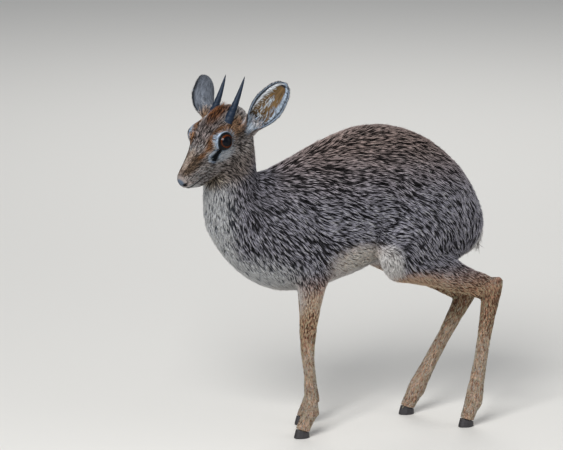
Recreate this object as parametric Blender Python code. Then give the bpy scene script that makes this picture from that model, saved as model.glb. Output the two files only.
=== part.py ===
# A male dik-dik antelope, life size, standing with its head turned to its left.
# Metres, +Z up. The animal faces -X and its left side is toward -Y.
# The origin is on the floor under the middle of the animal.

import math

import bmesh
import bpy
from mathutils import Matrix, Vector

# Fits and mesh sizes
GAP = 0.0003
VOXEL = 0.0026
BODY_TRIANGLES = 3900

# Trunk: distance back, top line, belly line, half width, height of the widest line
TRUNK = [
    (-0.104, 0.322, 0.268, 0.022, 0.50),
    (-0.090, 0.342, 0.243, 0.034, 0.48),
    (-0.062, 0.352, 0.216, 0.043, 0.47),
    (-0.030, 0.363, 0.199, 0.048, 0.46),
    (0.000, 0.376, 0.194, 0.051, 0.45),
    (0.030, 0.391, 0.196, 0.053, 0.45),
    (0.060, 0.403, 0.203, 0.056, 0.45),
    (0.090, 0.412, 0.213, 0.059, 0.45),
    (0.120, 0.414, 0.227, 0.060, 0.46),
    (0.150, 0.409, 0.236, 0.058, 0.50),
    (0.180, 0.398, 0.236, 0.055, 0.52),
    (0.210, 0.378, 0.230, 0.052, 0.52),
    (0.238, 0.350, 0.224, 0.046, 0.52),
    (0.256, 0.322, 0.232, 0.037, 0.52),
    (0.268, 0.294, 0.250, 0.024, 0.50),
]

# Neck: centre back, left and up, half depth fore and aft, half width
NECK = [
    (-0.074, -0.001, 0.424, 0.024, 0.023),
    (-0.079, -0.002, 0.396, 0.031, 0.028),
    (-0.082, -0.002, 0.365, 0.0355, 0.031),
    (-0.082, -0.001, 0.335, 0.038, 0.034),
    (-0.074, 0.000, 0.302, 0.045, 0.040),
    (-0.054, 0.000, 0.270, 0.044, 0.043),
    (-0.026, 0.000, 0.247, 0.042, 0.043),
]

# Head: set on its own forward, left and up axes from a point between the eyes
HEAD_CENTRE = Vector((-0.1124, -0.022, 0.4109))
HEAD_YAW = math.radians(30.3)
HEAD_PITCH = math.radians(27.7)
HEAD_ROLL = math.radians(4.8)
# Forward, half width, top, bottom, height of the widest line
SKULL = [
    (-0.064, 0.013, 0.012, -0.022, 0.50),
    (-0.055, 0.021, 0.021, -0.034, 0.50),
    (-0.042, 0.0265, 0.0275, -0.042, 0.55),
    (-0.028, 0.0285, 0.031, -0.0445, 0.60),
    (-0.013, 0.0300, 0.0315, -0.0440, 0.62),
    (0.000, 0.0298, 0.0285, -0.0435, 0.62),
    (0.013, 0.0268, 0.0240, -0.0440, 0.61),
    (0.028, 0.0205, 0.0180, -0.0445, 0.58),
    (0.043, 0.0155, 0.0125, -0.0440, 0.55),
    (0.0565, 0.0122, 0.0070, -0.0375, 0.51),
    (0.0650, 0.0106, 0.0032, -0.0320, 0.51),
    (0.0715, 0.0094, 0.0002, -0.0272, 0.52),
    (0.0773, 0.0068, -0.0046, -0.0212, 0.50),
]
BROW = (0.003, 0.0198, 0.0125, 0.019, 0.0112, 0.0126)
CHEEK = (-0.008, 0.0165, -0.0200, 0.028, 0.0125, 0.0190)
NOSE_PAD = (0.0730, 0.0, -0.0118, 0.0068, 0.0086, 0.0088)
CREST = (-0.020, 0.0, 0.0275, 0.020, 0.0105, 0.0120)
NOSTRIL = (0.0752, 0.0066, -0.0164, 0.0042, 0.0022, 0.0021)
MOUTH_AT = (0.066, 0.0, -0.0235)
MOUTH_SIZE = (0.034, 0.040, 0.0007)
MOUTH_TILT = math.radians(7)
EYE_RADIUS = 0.0125
EYE_AT = (0.0034, 0.0222, 0.0073)
EYE_DISH = (0.0055, 0.0334, 0.0076, 0.0180, 0.0076, 0.0120)

# Horns
HORN_LEFT = ((-0.0253, 0.0157, 0.0232), (-0.0730, 0.0170, 0.0573))
HORN_RIGHT = ((-0.0262, -0.0136, 0.0228), (-0.0708, -0.0150, 0.0540))
HORN_RADIUS = 0.0056
HORN_BOW = -0.0020
HORN_RINGS = 4

# Ears: each has a root, a direction, a way it opens, all on the head's axes
EAR_LENGTH = 0.081
EAR_THICKNESS = 0.0017
EAR_ROOT = (0.0130, 0.0100, 0.0100)
EAR_LEFT = ((-0.0387, 0.0330, 0.0006), (-0.593, 0.523, 0.610), (0.54, 0.65, 0.54))
EAR_RIGHT = ((-0.0354, -0.0265, 0.0056), (-0.685, -0.735, 0.12), (0.612, -0.645, -0.458))
# Fleshy stalk under each ear: place and direction
STALK_LEFT = ((-0.0375, 0.0318, 0.0010), (-0.595, 0.481, 0.644))
STALK_RIGHT = ((-0.0345, -0.0275, 0.0060), (-0.685, -0.735, 0.12))
# Along the ear, half width, half angle of the fold in degrees
EAR_SHAPE = [
    (0.00, 0.0090, 150),
    (0.12, 0.0108, 130),
    (0.25, 0.0152, 102),
    (0.40, 0.0192, 76),
    (0.55, 0.0207, 62),
    (0.70, 0.0188, 54),
    (0.83, 0.0153, 50),
    (0.93, 0.0102, 46),
    (1.00, 0.0030, 45),
]

# Legs: joints from the top of the limb down to the coronet of the hoof
FORE_LEFT = [
    (0.026, -0.032, 0.262),
    (0.0145, -0.034, 0.1235),
    (0.0203, -0.034, 0.0380),
    (0.0080, -0.034, 0.0100),
]
FORE_RIGHT = [
    (0.042, 0.032, 0.262),
    (0.0360, 0.034, 0.1215),
    (0.0435, 0.034, 0.0375),
    (0.0312, 0.034, 0.0100),
]
HIND_LEFT = [
    (0.213, -0.033, 0.336),
    (0.142, -0.049, 0.242),
    (0.2700, -0.047, 0.1860),
    (0.2460, -0.045, 0.0370),
    (0.2360, -0.045, 0.0100),
]
HIND_RIGHT = [
    (0.213, 0.033, 0.336),
    (0.150, 0.049, 0.235),
    (0.2665, 0.043, 0.1630),
    (0.1955, 0.043, 0.0365),
    (0.1820, 0.043, 0.0100),
]
# Bone, share of its length, half depth, half width
FORE_PROFILE = [
    (0, 0.00, 0.034, 0.0185),
    (0, 0.22, 0.0275, 0.0185),
    (0, 0.40, 0.0200, 0.0160),
    (0, 0.60, 0.0150, 0.0135),
    (0, 0.80, 0.0115, 0.0112),
    (1, 0.00, 0.0106, 0.0106),
    (1, 0.22, 0.0089, 0.0092),
    (1, 0.50, 0.0082, 0.0083),
    (1, 0.78, 0.0090, 0.0088),
    (2, 0.00, 0.0112, 0.0106),
    (2, 0.45, 0.0103, 0.0105),
    (2, 1.00, 0.0102, 0.0104),
    (2, 1.20, 0.0104, 0.0104),
]
THIGH_PROFILE = [
    (0, 0.00, 0.036, 0.020),
    (0, 0.35, 0.054, 0.029),
    (0, 0.70, 0.050, 0.029),
    (0, 1.00, 0.036, 0.023),
]
GASKIN_PROFILE = [
    (1, 0.00, 0.034, 0.021),
    (1, 0.22, 0.031, 0.021),
    (1, 0.45, 0.0235, 0.0175),
    (1, 0.70, 0.0195, 0.0140),
    (1, 0.88, 0.0180, 0.0120),
    (1, 1.02, 0.0150, 0.0114),
]
SHANK_PROFILE = [
    (2, -0.04, 0.0145, 0.0114),
    (2, 0.08, 0.0135, 0.0110),
    (2, 0.24, 0.0114, 0.0100),
    (2, 0.45, 0.0101, 0.0090),
    (2, 0.66, 0.0099, 0.0090),
    (2, 0.84, 0.0110, 0.0097),
    (3, 0.00, 0.0130, 0.0113),
    (3, 0.45, 0.0110, 0.0108),
    (3, 1.00, 0.0102, 0.0104),
    (3, 1.20, 0.0104, 0.0104),
]
HEEL_BONE = (0.0080, 0.0, 0.0110)
HEEL_RADIUS = 0.0092
DEWCLAW_RADIUS = 0.0031

# Hooves: two toes to a foot, soles on the floor
HOOF_LENGTH = 0.0218
HOOF_HALF_WIDTH = 0.0081
HOOF_CLEFT = 0.0007
CORONET_FRONT = 0.0125
CORONET_HEEL = 0.0070

# Tail
TAIL = [
    (0.246, 0.0, 0.290, 0.0095),
    (0.2595, 0.0, 0.278, 0.0092),
    (0.2662, 0.0, 0.262, 0.0082),
    (0.2668, 0.0, 0.247, 0.0066),
    (0.2648, 0.0, 0.236, 0.0035),
]

# Muscle masses: centre on the left side, half sizes
SHOULDER = ((0.004, 0.030, 0.284), (0.040, 0.0245, 0.062))
FOREARM_HEAD = ((0.024, 0.031, 0.238), (0.033, 0.021, 0.040))
RUMP = ((0.204, 0.021, 0.286), (0.056, 0.036, 0.070))
STIFLE = ((0.141, 0.048, 0.240), (0.031, 0.0215, 0.036))

COLOURS = {
    "coat": (0.24, 0.20, 0.17),
    "throat": (0.38, 0.35, 0.32),
    "face": (0.33, 0.22, 0.14),
    "leg": (0.44, 0.27, 0.17),
    "ear": (0.42, 0.36, 0.30),
    "horn": (0.045, 0.05, 0.06),
    "hoof": (0.03, 0.028, 0.03),
    "eye": (0.06, 0.025, 0.012),
}


def clear_scene():
    for ob in list(bpy.data.objects):
        bpy.data.objects.remove(ob, do_unlink=True)


def material(name, colour, roughness):
    mat = bpy.data.materials.new(name)
    mat.use_nodes = True
    shader = mat.node_tree.nodes["Principled BSDF"]
    shader.inputs["Base Color"].default_value = (*colour, 1.0)
    shader.inputs["Roughness"].default_value = roughness
    mat.diffuse_color = (*colour, 1.0)
    return mat


def new_object(name, bm):
    bmesh.ops.recalc_face_normals(bm, faces=bm.faces)
    mesh = bpy.data.meshes.new(name)
    bm.to_mesh(mesh)
    bm.free()
    ob = bpy.data.objects.new(name, mesh)
    bpy.context.collection.objects.link(ob)
    return ob


def applied(ob):
    """Replace an object's mesh with what its modifiers make of it."""
    depsgraph = bpy.context.evaluated_depsgraph_get()
    mesh = bpy.data.meshes.new_from_object(ob.evaluated_get(depsgraph))
    ob.modifiers.clear()
    old = ob.data
    ob.data = mesh
    bpy.data.meshes.remove(old)
    return ob


def loft(name, rings):
    """A closed tube through rings of equal count, with flat ends."""
    bm = bmesh.new()
    rows = []
    for ring in rings:
        rows.append([bm.verts.new(p) for p in ring])
    count = len(rows[0])
    for low, high in zip(rows, rows[1:]):
        for i in range(count):
            j = (i + 1) % count
            bm.faces.new((low[i], low[j], high[j], high[i]))
    bm.faces.new(rows[0])
    bm.faces.new(rows[-1])
    return new_object(name, bm)


def egg_ring(centre, side, up, half_side, rise, drop, count=28):
    """An oval ring whose upper and lower halves have their own heights."""
    ring = []
    for k in range(count):
        angle = 2.0 * math.pi * k / count
        height = math.sin(angle)
        reach = rise if height > 0 else drop
        ring.append(centre + side * (half_side * math.cos(angle)) + up * (reach * height))
    return ring


def between(values, t):
    """A smooth value at t from 0 to 1 along an evenly stepped list."""
    last = len(values) - 1
    at = min(max(t, 0.0), 1.0) * last
    i = min(int(at), last - 1)
    f = at - i
    p1 = values[i]
    p2 = values[i + 1]
    p0 = values[max(i - 1, 0)]
    p3 = values[min(i + 2, last)]
    out = []
    for a, b, c, d in zip(p0, p1, p2, p3):
        cubic = 3.0 * b - a - 3.0 * c + d
        square = 2.0 * a - 5.0 * b + 4.0 * c - d
        out.append(b + 0.5 * f * (c - a + f * (square + f * cubic)))
    return out


def smooth_rows(rows, count):
    return [between(rows, k / (count - 1)) for k in range(count)]


def tube(name, rows, side=Vector((0, 1, 0)), count=24):
    """A tube along centres with its own half depth and half width at each."""
    centres = [Vector(r[:3]) for r in rows]
    rings = []
    for i, row in enumerate(rows):
        ahead = centres[min(i + 1, len(rows) - 1)]
        behind = centres[max(i - 1, 0)]
        along = (ahead - behind).normalized()
        depth = along.cross(side).normalized()
        width = depth.cross(along).normalized()
        rings.append(egg_ring(centres[i], width, depth, row[4], row[3], row[3], count))
    return loft(name, rings)


def ellipsoid(name, centre, sizes, turn=None, fineness=3):
    bm = bmesh.new()
    bmesh.ops.create_icosphere(bm, subdivisions=fineness, radius=1.0)
    place = Matrix.Diagonal((*sizes, 1.0))
    if turn is not None:
        place = turn.to_4x4() @ place
    bmesh.ops.transform(bm, matrix=Matrix.Translation(centre) @ place, verts=bm.verts)
    return new_object(name, bm)


def box(name, centre, sizes, turn=None):
    bm = bmesh.new()
    bmesh.ops.create_cube(bm, size=1.0)
    place = Matrix.Diagonal((*sizes, 1.0))
    if turn is not None:
        place = turn.to_4x4() @ place
    bmesh.ops.transform(bm, matrix=Matrix.Translation(centre) @ place, verts=bm.verts)
    return new_object(name, bm)


def as_helper(ob):
    ob.hide_render = True
    ob.display_type = "WIRE"
    return ob


def boolean(ob, cutter, operation="DIFFERENCE"):
    as_helper(cutter)
    mod = ob.modifiers.new("cut", "BOOLEAN")
    mod.operation = operation
    mod.solver = "EXACT"
    mod.object = cutter
    applied(ob)
    bpy.data.objects.remove(cutter, do_unlink=True)
    return ob


def head_axes():
    """Forward, left and up of the turned head."""
    cy, sy = math.cos(HEAD_YAW), math.sin(HEAD_YAW)
    cp, sp = math.cos(HEAD_PITCH), math.sin(HEAD_PITCH)
    forward = Vector((-cp * cy, -cp * sy, -sp))
    left = Vector((sy, -cy, 0.0))
    up = forward.cross(left)
    cr, sr = math.cos(HEAD_ROLL), math.sin(HEAD_ROLL)
    return forward, left * cr - up * sr, left * sr + up * cr


FORWARD, LEFT, UP = head_axes()
HEAD_TURN = Matrix((FORWARD, LEFT, UP)).transposed()


def on_head(f, s, u):
    return HEAD_CENTRE + FORWARD * f + LEFT * s + UP * u


def head_direction(f, s, u):
    return (FORWARD * f + LEFT * s + UP * u).normalized()


def leg_rows(joints, profile):
    """Turn shares of bone length into centres with half sizes."""
    points = [Vector(j) for j in joints]
    rows = []
    for bone, share, depth, width in profile:
        start = points[bone]
        end = points[bone + 1]
        rows.append((*(start + (end - start) * share), depth, width))
    return rows


# Masses of the body, still overlapping
def trunk_mass():
    rings = []
    for x, top, bottom, half, level in smooth_rows(TRUNK, 34):
        wide = bottom + level * (top - bottom)
        centre = Vector((x, 0.0, wide))
        across = Vector((0, 1, 0))
        rings.append(egg_ring(centre, across, Vector((0, 0, 1)), half, top - wide, wide - bottom, 36))
    return loft("trunk_mass", rings)


def head_mass():
    rings = []
    for f, half, top, bottom, level in smooth_rows(SKULL, 30):
        wide = bottom + level * (top - bottom)
        rings.append(egg_ring(on_head(f, 0, wide), LEFT, UP, half, top - wide, wide - bottom, 28))
    return loft("head_mass", rings)


def head_lump(name, shape, side=1, fineness=3):
    f, s, u, a, b, c = shape
    return ellipsoid(name, on_head(f, s * side, u), (a, b, c), HEAD_TURN, fineness)


def side_lump(name, shape, side):
    (x, y, z), sizes = shape
    return ellipsoid(name, Vector((x, y * side, z)), sizes)


def foreleg_masses(joints):
    out = [tube("foreleg", leg_rows(joints, FORE_PROFILE))]
    out += dewclaws(joints[-2])
    return out


def hindleg_masses(joints):
    out = [tube("thigh", leg_rows(joints, THIGH_PROFILE))]
    out.append(tube("gaskin", leg_rows(joints, GASKIN_PROFILE)))
    out.append(tube("shank", leg_rows(joints, SHANK_PROFILE)))
    hock = Vector(joints[2])
    tip = hock + Vector(HEEL_BONE)
    bone = [
        (*(hock - Vector(HEEL_BONE) * 0.4), 0.0125, 0.0085),
        (*(hock + Vector(HEEL_BONE) * 0.3), 0.0110, 0.0080),
        (*tip, 0.0072, 0.0062),
    ]
    out.append(tube("heel", bone))
    out.append(ellipsoid("heel_end", tip, (HEEL_RADIUS, 0.0072, HEEL_RADIUS)))
    out += dewclaws(joints[-2])
    return out


def dewclaws(fetlock):
    out = []
    for side in (-1, 1):
        at = Vector(fetlock) + Vector((0.0084, 0.0050 * side, -0.0070))
        r = DEWCLAW_RADIUS
        out.append(ellipsoid("dewclaw", at, (r, r * 0.9, r * 1.3)))
    return out


def joined(name, parts):
    bm = bmesh.new()
    for ob in parts:
        bm.from_mesh(ob.data)
        bpy.data.objects.remove(ob, do_unlink=True)
    mesh = bpy.data.meshes.new(name)
    bm.to_mesh(mesh)
    bm.free()
    ob = bpy.data.objects.new(name, mesh)
    bpy.context.collection.objects.link(ob)
    return ob


def softness(point):
    """How far the joins are smoothed: most on the trunk, least on face and feet."""
    head_near = (point - on_head(0.02, 0, 0)).length
    if head_near < 0.075:
        return 0.22
    low = (point.z - 0.17) / 0.06
    return min(max(low, 0.2), 1.0)


def detail(point):
    """How readily the mesh is thinned: least on the trunk, whose outline is broad."""
    face = (point - on_head(0.03, 0, -0.005)).length
    if face < 0.062:
        return 0.42
    if point.z < 0.20:
        return 0.64
    return 0.80


def weigh(ob, name, rule):
    group = ob.vertex_groups.new(name=name)
    for v in ob.data.vertices:
        group.add([v.index], rule(v.co), "REPLACE")
    return group


def fused_body():
    parts = [trunk_mass(), tube("neck_mass", smooth_rows(NECK, 16), count=28), head_mass()]
    for side in (-1, 1):
        parts.append(head_lump("brow", BROW, side))
        parts.append(head_lump("cheek", CHEEK, side))
        parts.append(side_lump("shoulder", SHOULDER, side))
        parts.append(side_lump("rump", RUMP, side))
        parts.append(side_lump("forearm", FOREARM_HEAD, side))
        parts.append(side_lump("stifle", STIFLE, side))
    parts.append(head_lump("nose", NOSE_PAD))
    parts.append(head_lump("crest", CREST))
    parts.append(ear_root(*STALK_LEFT))
    parts.append(ear_root(*STALK_RIGHT))
    parts += foreleg_masses(FORE_LEFT)
    parts += foreleg_masses(FORE_RIGHT)
    parts += hindleg_masses(HIND_LEFT)
    parts += hindleg_masses(HIND_RIGHT)
    body = joined("body", parts)
    remesh = body.modifiers.new("skin", "REMESH")
    remesh.mode = "VOXEL"
    remesh.voxel_size = VOXEL
    applied(body)
    weigh(body, "soft", softness)
    smooth = body.modifiers.new("soften", "SMOOTH")
    smooth.factor = 0.5
    smooth.iterations = 14
    smooth.vertex_group = "soft"
    applied(body)
    weigh(body, "thin", detail)
    triangles = sum(len(p.vertices) - 2 for p in body.data.polygons)
    thin = body.modifiers.new("thin", "DECIMATE")
    thin.decimate_type = "COLLAPSE"
    thin.ratio = BODY_TRIANGLES / triangles
    thin.vertex_group = "thin"
    thin.vertex_group_factor = 1.0
    thin.use_collapse_triangulate = True
    applied(body)
    body.vertex_groups.clear()
    return body


# Thin cutters that part the body into its named pieces
def slab(name, low, high, reach, width):
    """A thin plate through two points, standing across the body."""
    low = Vector(low)
    high = Vector(high)
    along = (high - low).normalized()
    across = Vector((0, 1, 0))
    turn = Matrix((along, across, along.cross(across))).transposed()
    length = (high - low).length + 2.0 * reach
    return box(name, (low + high) / 2.0, (length, width, GAP), turn)


def plate(name, rows, round_trip=False, capped=False, thickness=GAP):
    """A thin curved plate from a grid of points, on both sides of it."""
    bm = bmesh.new()
    grid = [[bm.verts.new(p) for p in row] for row in rows]
    count = len(grid[0])
    last = count if round_trip else count - 1
    for low, high in zip(grid, grid[1:]):
        for i in range(last):
            j = (i + 1) % count
            bm.faces.new((low[i], low[j], high[j], high[i]))
    if capped:
        bm.faces.new(grid[0])
    bmesh.ops.triangulate(bm, faces=bm.faces)
    ob = new_object(name, bm)
    solid = ob.modifiers.new("plate", "SOLIDIFY")
    solid.thickness = thickness
    solid.offset = 0.0
    solid.use_rim = True
    solid.use_even_offset = True
    applied(ob)
    bm = bmesh.new()
    bm.from_mesh(ob.data)
    bmesh.ops.recalc_face_normals(bm, faces=bm.faces)
    bm.to_mesh(ob.data)
    bm.free()
    return ob


def fore_dome(joints, side):
    """A dome over the top of a foreleg, open below the chest."""
    x = joints[0][0] * 0.5 + joints[1][0] * 0.5 + 0.001
    centre = Vector((x, 0.0365 * side, 0.184))
    rows = []
    for i in range(6):
        polar = 0.16 + (math.pi / 2 - 0.16) * i / 5
        row = []
        for k in range(12):
            turn = 2.0 * math.pi * k / 12
            out = math.sin(polar)
            reach = (0.032 * out * math.cos(turn), 0.0315 * out * math.sin(turn), 0.044 * math.cos(polar))
            row.append(centre + Vector(reach))
        rows.append(row)
    return plate("dome", rows, round_trip=True, capped=True)


def haunch_sheet(side):
    """A curved plate between a haunch and the trunk, open behind and below."""
    inner = 0.0065
    outer = 0.095
    rows = []
    for i in range(9):
        x = 0.094 + (0.320 - 0.094) * (i / 8) ** 1.4
        t = min((x - 0.094) / 0.075, 1.0)
        forward = math.sqrt(max(1.0 - (1.0 - t) ** 2, 0.0))
        row = []
        for k in range(10):
            z = 0.120 + (0.400 - 0.120) * k / 9
            s = min(max((z - 0.235) / (0.392 - 0.235), 0.0), 1.0)
            upward = math.sqrt(max(1.0 - s * s, 0.0))
            y = outer - (outer - inner) * forward * upward
            row.append(Vector((x, y * side, z)))
        rows.append(row)
    return plate("haunch", rows)


def coronet_turn(yaw):
    slope = math.atan2(CORONET_FRONT - CORONET_HEEL, HOOF_LENGTH * 0.85)
    return Matrix.Rotation(yaw, 3, "Z") @ Matrix.Rotation(slope, 3, "Y")


def foot_block(coronet, yaw):
    """What lies below the sloping coronet of one foot."""
    turn = coronet_turn(yaw)
    top = Vector((coronet[0], coronet[1], (CORONET_FRONT + CORONET_HEEL) / 2.0))
    return box("foot", top - turn @ Vector((0, 0, 0.02)), (0.055, 0.05, 0.04), turn)


def cleft_block(coronet, yaw):
    """The groove between the toes, open to the front."""
    turn = Matrix.Rotation(yaw, 3, "Z")
    at = Vector((coronet[0], coronet[1], 0.009)) + turn @ Vector((-0.0115, 0, 0))
    lean = turn @ Matrix.Rotation(math.radians(20), 3, "Y")
    return box("cleft", at, (0.0110, 0.0014, 0.026), lean)


def hoof(name, coronet, yaw, side):
    """One toe: a wedge with a flat sole, pointed in front, round at the heel."""
    turn = Matrix.Rotation(yaw, 3, "Z")
    slope = (CORONET_FRONT - CORONET_HEEL) / (HOOF_LENGTH * 0.85)
    middle = (CORONET_FRONT + CORONET_HEEL) / 2.0 - GAP * 1.05
    count = 14
    rings = []
    for level in (0.0, 0.22, 1.0):
        ring = []
        for k in range(count):
            angle = 2.0 * math.pi * k / count
            x = -math.cos(angle)
            narrow = 1.0 - 0.30 * max(-x, 0.0) ** 2
            y = max(math.sin(angle), 0.0) * narrow
            y = y ** 0.85
            shrink = 1.0 - 0.16 * level if level > 0.0 else 0.975
            px = (x * HOOF_LENGTH / 2.0 - 0.0016) * shrink + 0.0012 * level
            py = HOOF_CLEFT + (HOOF_HALF_WIDTH - HOOF_CLEFT) * y * shrink
            if math.sin(angle) < 0:
                py = HOOF_CLEFT * (1.0 + 0.9 * abs(math.cos(angle)) ** 3)
            top = middle - px * slope
            ring.append(Vector((px, py * side, top * level)))
        rings.append(ring)
    base = Vector((coronet[0], coronet[1], 0.0))
    return loft(name, [[base + turn @ p for p in ring] for ring in rings])


def ear_root(root, direction):
    """The fleshy stalk on the head that carries an ear."""
    along = head_direction(*direction)
    across = along.cross(UP).normalized()
    turn = Matrix((along, across, along.cross(across))).transposed()
    return ellipsoid("ear_root", on_head(*root) + along * 0.003, EAR_ROOT, turn)


def ear_solid(name, root, direction, opening):
    """A leaf-shaped cup: a folded tube at the root that opens along the ear."""
    base = on_head(*root)
    along = head_direction(*direction)
    face = head_direction(*opening)
    face = (face - along * face.dot(along)).normalized()
    across = along.cross(face).normalized()
    rows = []
    for t, half, fold in EAR_SHAPE:
        spread = math.radians(fold)
        radius = half / math.sin(min(spread, math.pi / 2))
        bend = face * (0.010 * math.sin(math.pi * t) ** 2 - 0.004 * t)
        middle = base + along * (EAR_LENGTH * t) + bend + face * (radius * 0.45)
        row = []
        for k in range(9):
            angle = spread * (2.0 * k / 8 - 1.0)
            row.append(middle + across * (radius * math.sin(angle)) - face * (radius * math.cos(angle)))
        rows.append(row)
    return plate(name, rows, thickness=EAR_THICKNESS)


def horn_solid(name, root, point):
    """A ringed spike, thick at the root, bowed a little backward."""
    low = on_head(*root)
    tip = on_head(*point)
    along = (tip - low).normalized()
    bow = (UP - along * UP.dot(along)).normalized()
    start = low - along * 0.008
    rings = []
    steps = 14
    for i in range(steps + 1):
        t = i / steps
        centre = start + (tip - start) * t + bow * (HORN_BOW * math.sin(math.pi * t))
        radius = HORN_RADIUS * (1.0 - t) ** 0.8 + 0.0007
        if t < 0.52:
            radius *= 1.0 + 0.045 * math.cos(t / 0.52 * HORN_RINGS * 2.0 * math.pi)
        deep = along.cross(LEFT).normalized()
        rings.append(egg_ring(centre, LEFT, deep, radius * 0.92, radius, radius, 9))
    return loft(name, rings)


def tail_solid(name):
    rows = [(x, y, z, r, r * 1.15) for x, y, z, r in smooth_rows(TAIL, 8)]
    return tube(name, rows, count=12)


def grown_copy(ob):
    """The same body a gap larger all over, to seat the added pieces."""
    mesh = ob.data.copy()
    copy = bpy.data.objects.new("grown", mesh)
    bpy.context.collection.objects.link(copy)
    push = copy.modifiers.new("push", "DISPLACE")
    push.mid_level = 0.0
    push.strength = GAP * 1.6
    push.direction = "NORMAL"
    return applied(copy)


def loose_pieces(ob):
    """Split one object into an object for each closed shell."""
    bm = bmesh.new()
    bm.from_mesh(ob.data)
    bm.faces.ensure_lookup_table()
    seen = set()
    shells = []
    for face in bm.faces:
        if face.index in seen:
            continue
        seen.add(face.index)
        stack = [face]
        shell = []
        while stack:
            f = stack.pop()
            shell.append(f)
            for edge in f.edges:
                for other in edge.link_faces:
                    if other.index not in seen:
                        seen.add(other.index)
                        stack.append(other)
        shells.append(shell)
    out = []
    for shell in shells:
        piece = bmesh.new()
        made = {}
        for f in shell:
            for v in f.verts:
                if v.index not in made:
                    made[v.index] = piece.verts.new(v.co)
            piece.faces.new([made[v.index] for v in f.verts])
        mesh = bpy.data.meshes.new("piece")
        piece.to_mesh(mesh)
        piece.free()
        new = bpy.data.objects.new("piece", mesh)
        bpy.context.collection.objects.link(new)
        out.append(new)
    bm.free()
    bpy.data.objects.remove(ob, do_unlink=True)
    return out


def middle_of(ob):
    total = Vector((0, 0, 0))
    for v in ob.data.vertices:
        total += v.co
    return total / len(ob.data.vertices)


def keep_largest(ob, name):
    """Keep the main shell where seating has left a crumb inside."""
    pieces = loose_pieces(ob)
    pieces.sort(key=lambda p: len(p.data.vertices))
    kept = pieces.pop()
    for crumb in pieces:
        bpy.data.objects.remove(crumb, do_unlink=True)
    kept.name = name
    return kept


def finish(ob, mat, smooth=True):
    ob.data.name = ob.name
    ob.data.materials.clear()
    ob.data.materials.append(mat)
    bm = bmesh.new()
    bm.from_mesh(ob.data)
    bmesh.ops.remove_doubles(bm, verts=bm.verts, dist=0.00001)
    bmesh.ops.triangulate(bm, faces=[f for f in bm.faces if len(f.verts) > 4])
    bm.to_mesh(ob.data)
    bm.free()
    for face in ob.data.polygons:
        face.use_smooth = smooth


clear_scene()

# One body, then the thin cuts that part it
body = fused_body()
seat = grown_copy(body)
boolean(body, slab("throat", (-0.122, -0.005, 0.350), (-0.045, -0.005, 0.418), 0.010, 0.13))
boolean(body, slab("collar", (-0.118, 0, 0.288), (-0.046, 0, 0.354), 0.016, 0.14))
boolean(body, fore_dome(FORE_LEFT, -1))
boolean(body, fore_dome(FORE_RIGHT, 1))
boolean(body, haunch_sheet(-1))
boolean(body, haunch_sheet(1))

# Name each piece by the landmark it lies closest to
landmarks = {
    "head": on_head(0.01, 0, -0.005),
    "neck": Vector((-0.083, 0, 0.352)),
    "trunk": Vector((0.06, 0, 0.32)),
    "foreleg_left": Vector(FORE_LEFT[1]),
    "foreleg_right": Vector(FORE_RIGHT[1]),
    "hindleg_left": Vector((0.22, -0.045, 0.23)),
    "hindleg_right": Vector((0.21, 0.045, 0.22)),
}
pieces = {}
for piece in loose_pieces(body):
    at = middle_of(piece)
    name = min(landmarks, key=lambda n: (landmarks[n] - at).length)
    other = pieces.get(name)
    if other is None:
        pieces[name] = piece
    elif len(other.data.vertices) < len(piece.data.vertices):
        bpy.data.objects.remove(other, do_unlink=True)
        pieces[name] = piece
    else:
        bpy.data.objects.remove(piece, do_unlink=True)
for name, piece in pieces.items():
    piece.name = name

# Feet cut off at the coronet and cloven in front
feet = {
    "fore_left": (FORE_LEFT[-1], math.radians(6)),
    "fore_right": (FORE_RIGHT[-1], math.radians(2)),
    "hind_left": (HIND_LEFT[-1], math.radians(8)),
    "hind_right": (HIND_RIGHT[-1], math.radians(0)),
}
for foot, (coronet, yaw) in feet.items():
    leg = pieces[foot.replace("_", "leg_")]
    boolean(leg, foot_block(coronet, yaw))
    boolean(leg, cleft_block(coronet, yaw))

# Eye sockets, nostrils and the slit of the closed mouth
for side in (-1, 1):
    at = on_head(EYE_AT[0], EYE_AT[1] * side, EYE_AT[2])
    r = EYE_RADIUS + GAP
    boolean(pieces["head"], head_lump("dish", EYE_DISH, side, 2))
    boolean(pieces["head"], ellipsoid("socket", at, (r, r, r)))
    boolean(pieces["head"], head_lump("nostril", NOSTRIL, side, 2))
mouth_turn = HEAD_TURN @ Matrix.Rotation(MOUTH_TILT, 3, "Y")
boolean(pieces["head"], box("mouth", on_head(*MOUTH_AT), MOUTH_SIZE, mouth_turn))

# Added pieces, seated on the body with the same gap
pieces["ear_left"] = ear_solid("ear_left", *EAR_LEFT)
pieces["ear_right"] = ear_solid("ear_right", *EAR_RIGHT)
pieces["horn_left"] = horn_solid("horn_left", *HORN_LEFT)
pieces["horn_right"] = horn_solid("horn_right", *HORN_RIGHT)
pieces["tail"] = tail_solid("tail")
for name in ("ear_left", "ear_right", "horn_left", "horn_right", "tail"):
    cutter = bpy.data.objects.new("cutter", seat.data.copy())
    bpy.context.collection.objects.link(cutter)
    boolean(pieces[name], cutter)
    pieces[name] = keep_largest(pieces[name], name)
bpy.data.objects.remove(seat, do_unlink=True)

for label, side in (("left", 1), ("right", -1)):
    at = on_head(EYE_AT[0], EYE_AT[1] * side, EYE_AT[2])
    r = EYE_RADIUS
    pieces["eye_" + label] = ellipsoid("eye_" + label, at, (r, r, r))
for foot, (coronet, yaw) in feet.items():
    for toe, side in (("a", -1), ("b", 1)):
        name = "hoof_" + foot + "_" + toe
        pieces[name] = hoof(name, coronet, yaw, side)

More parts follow.
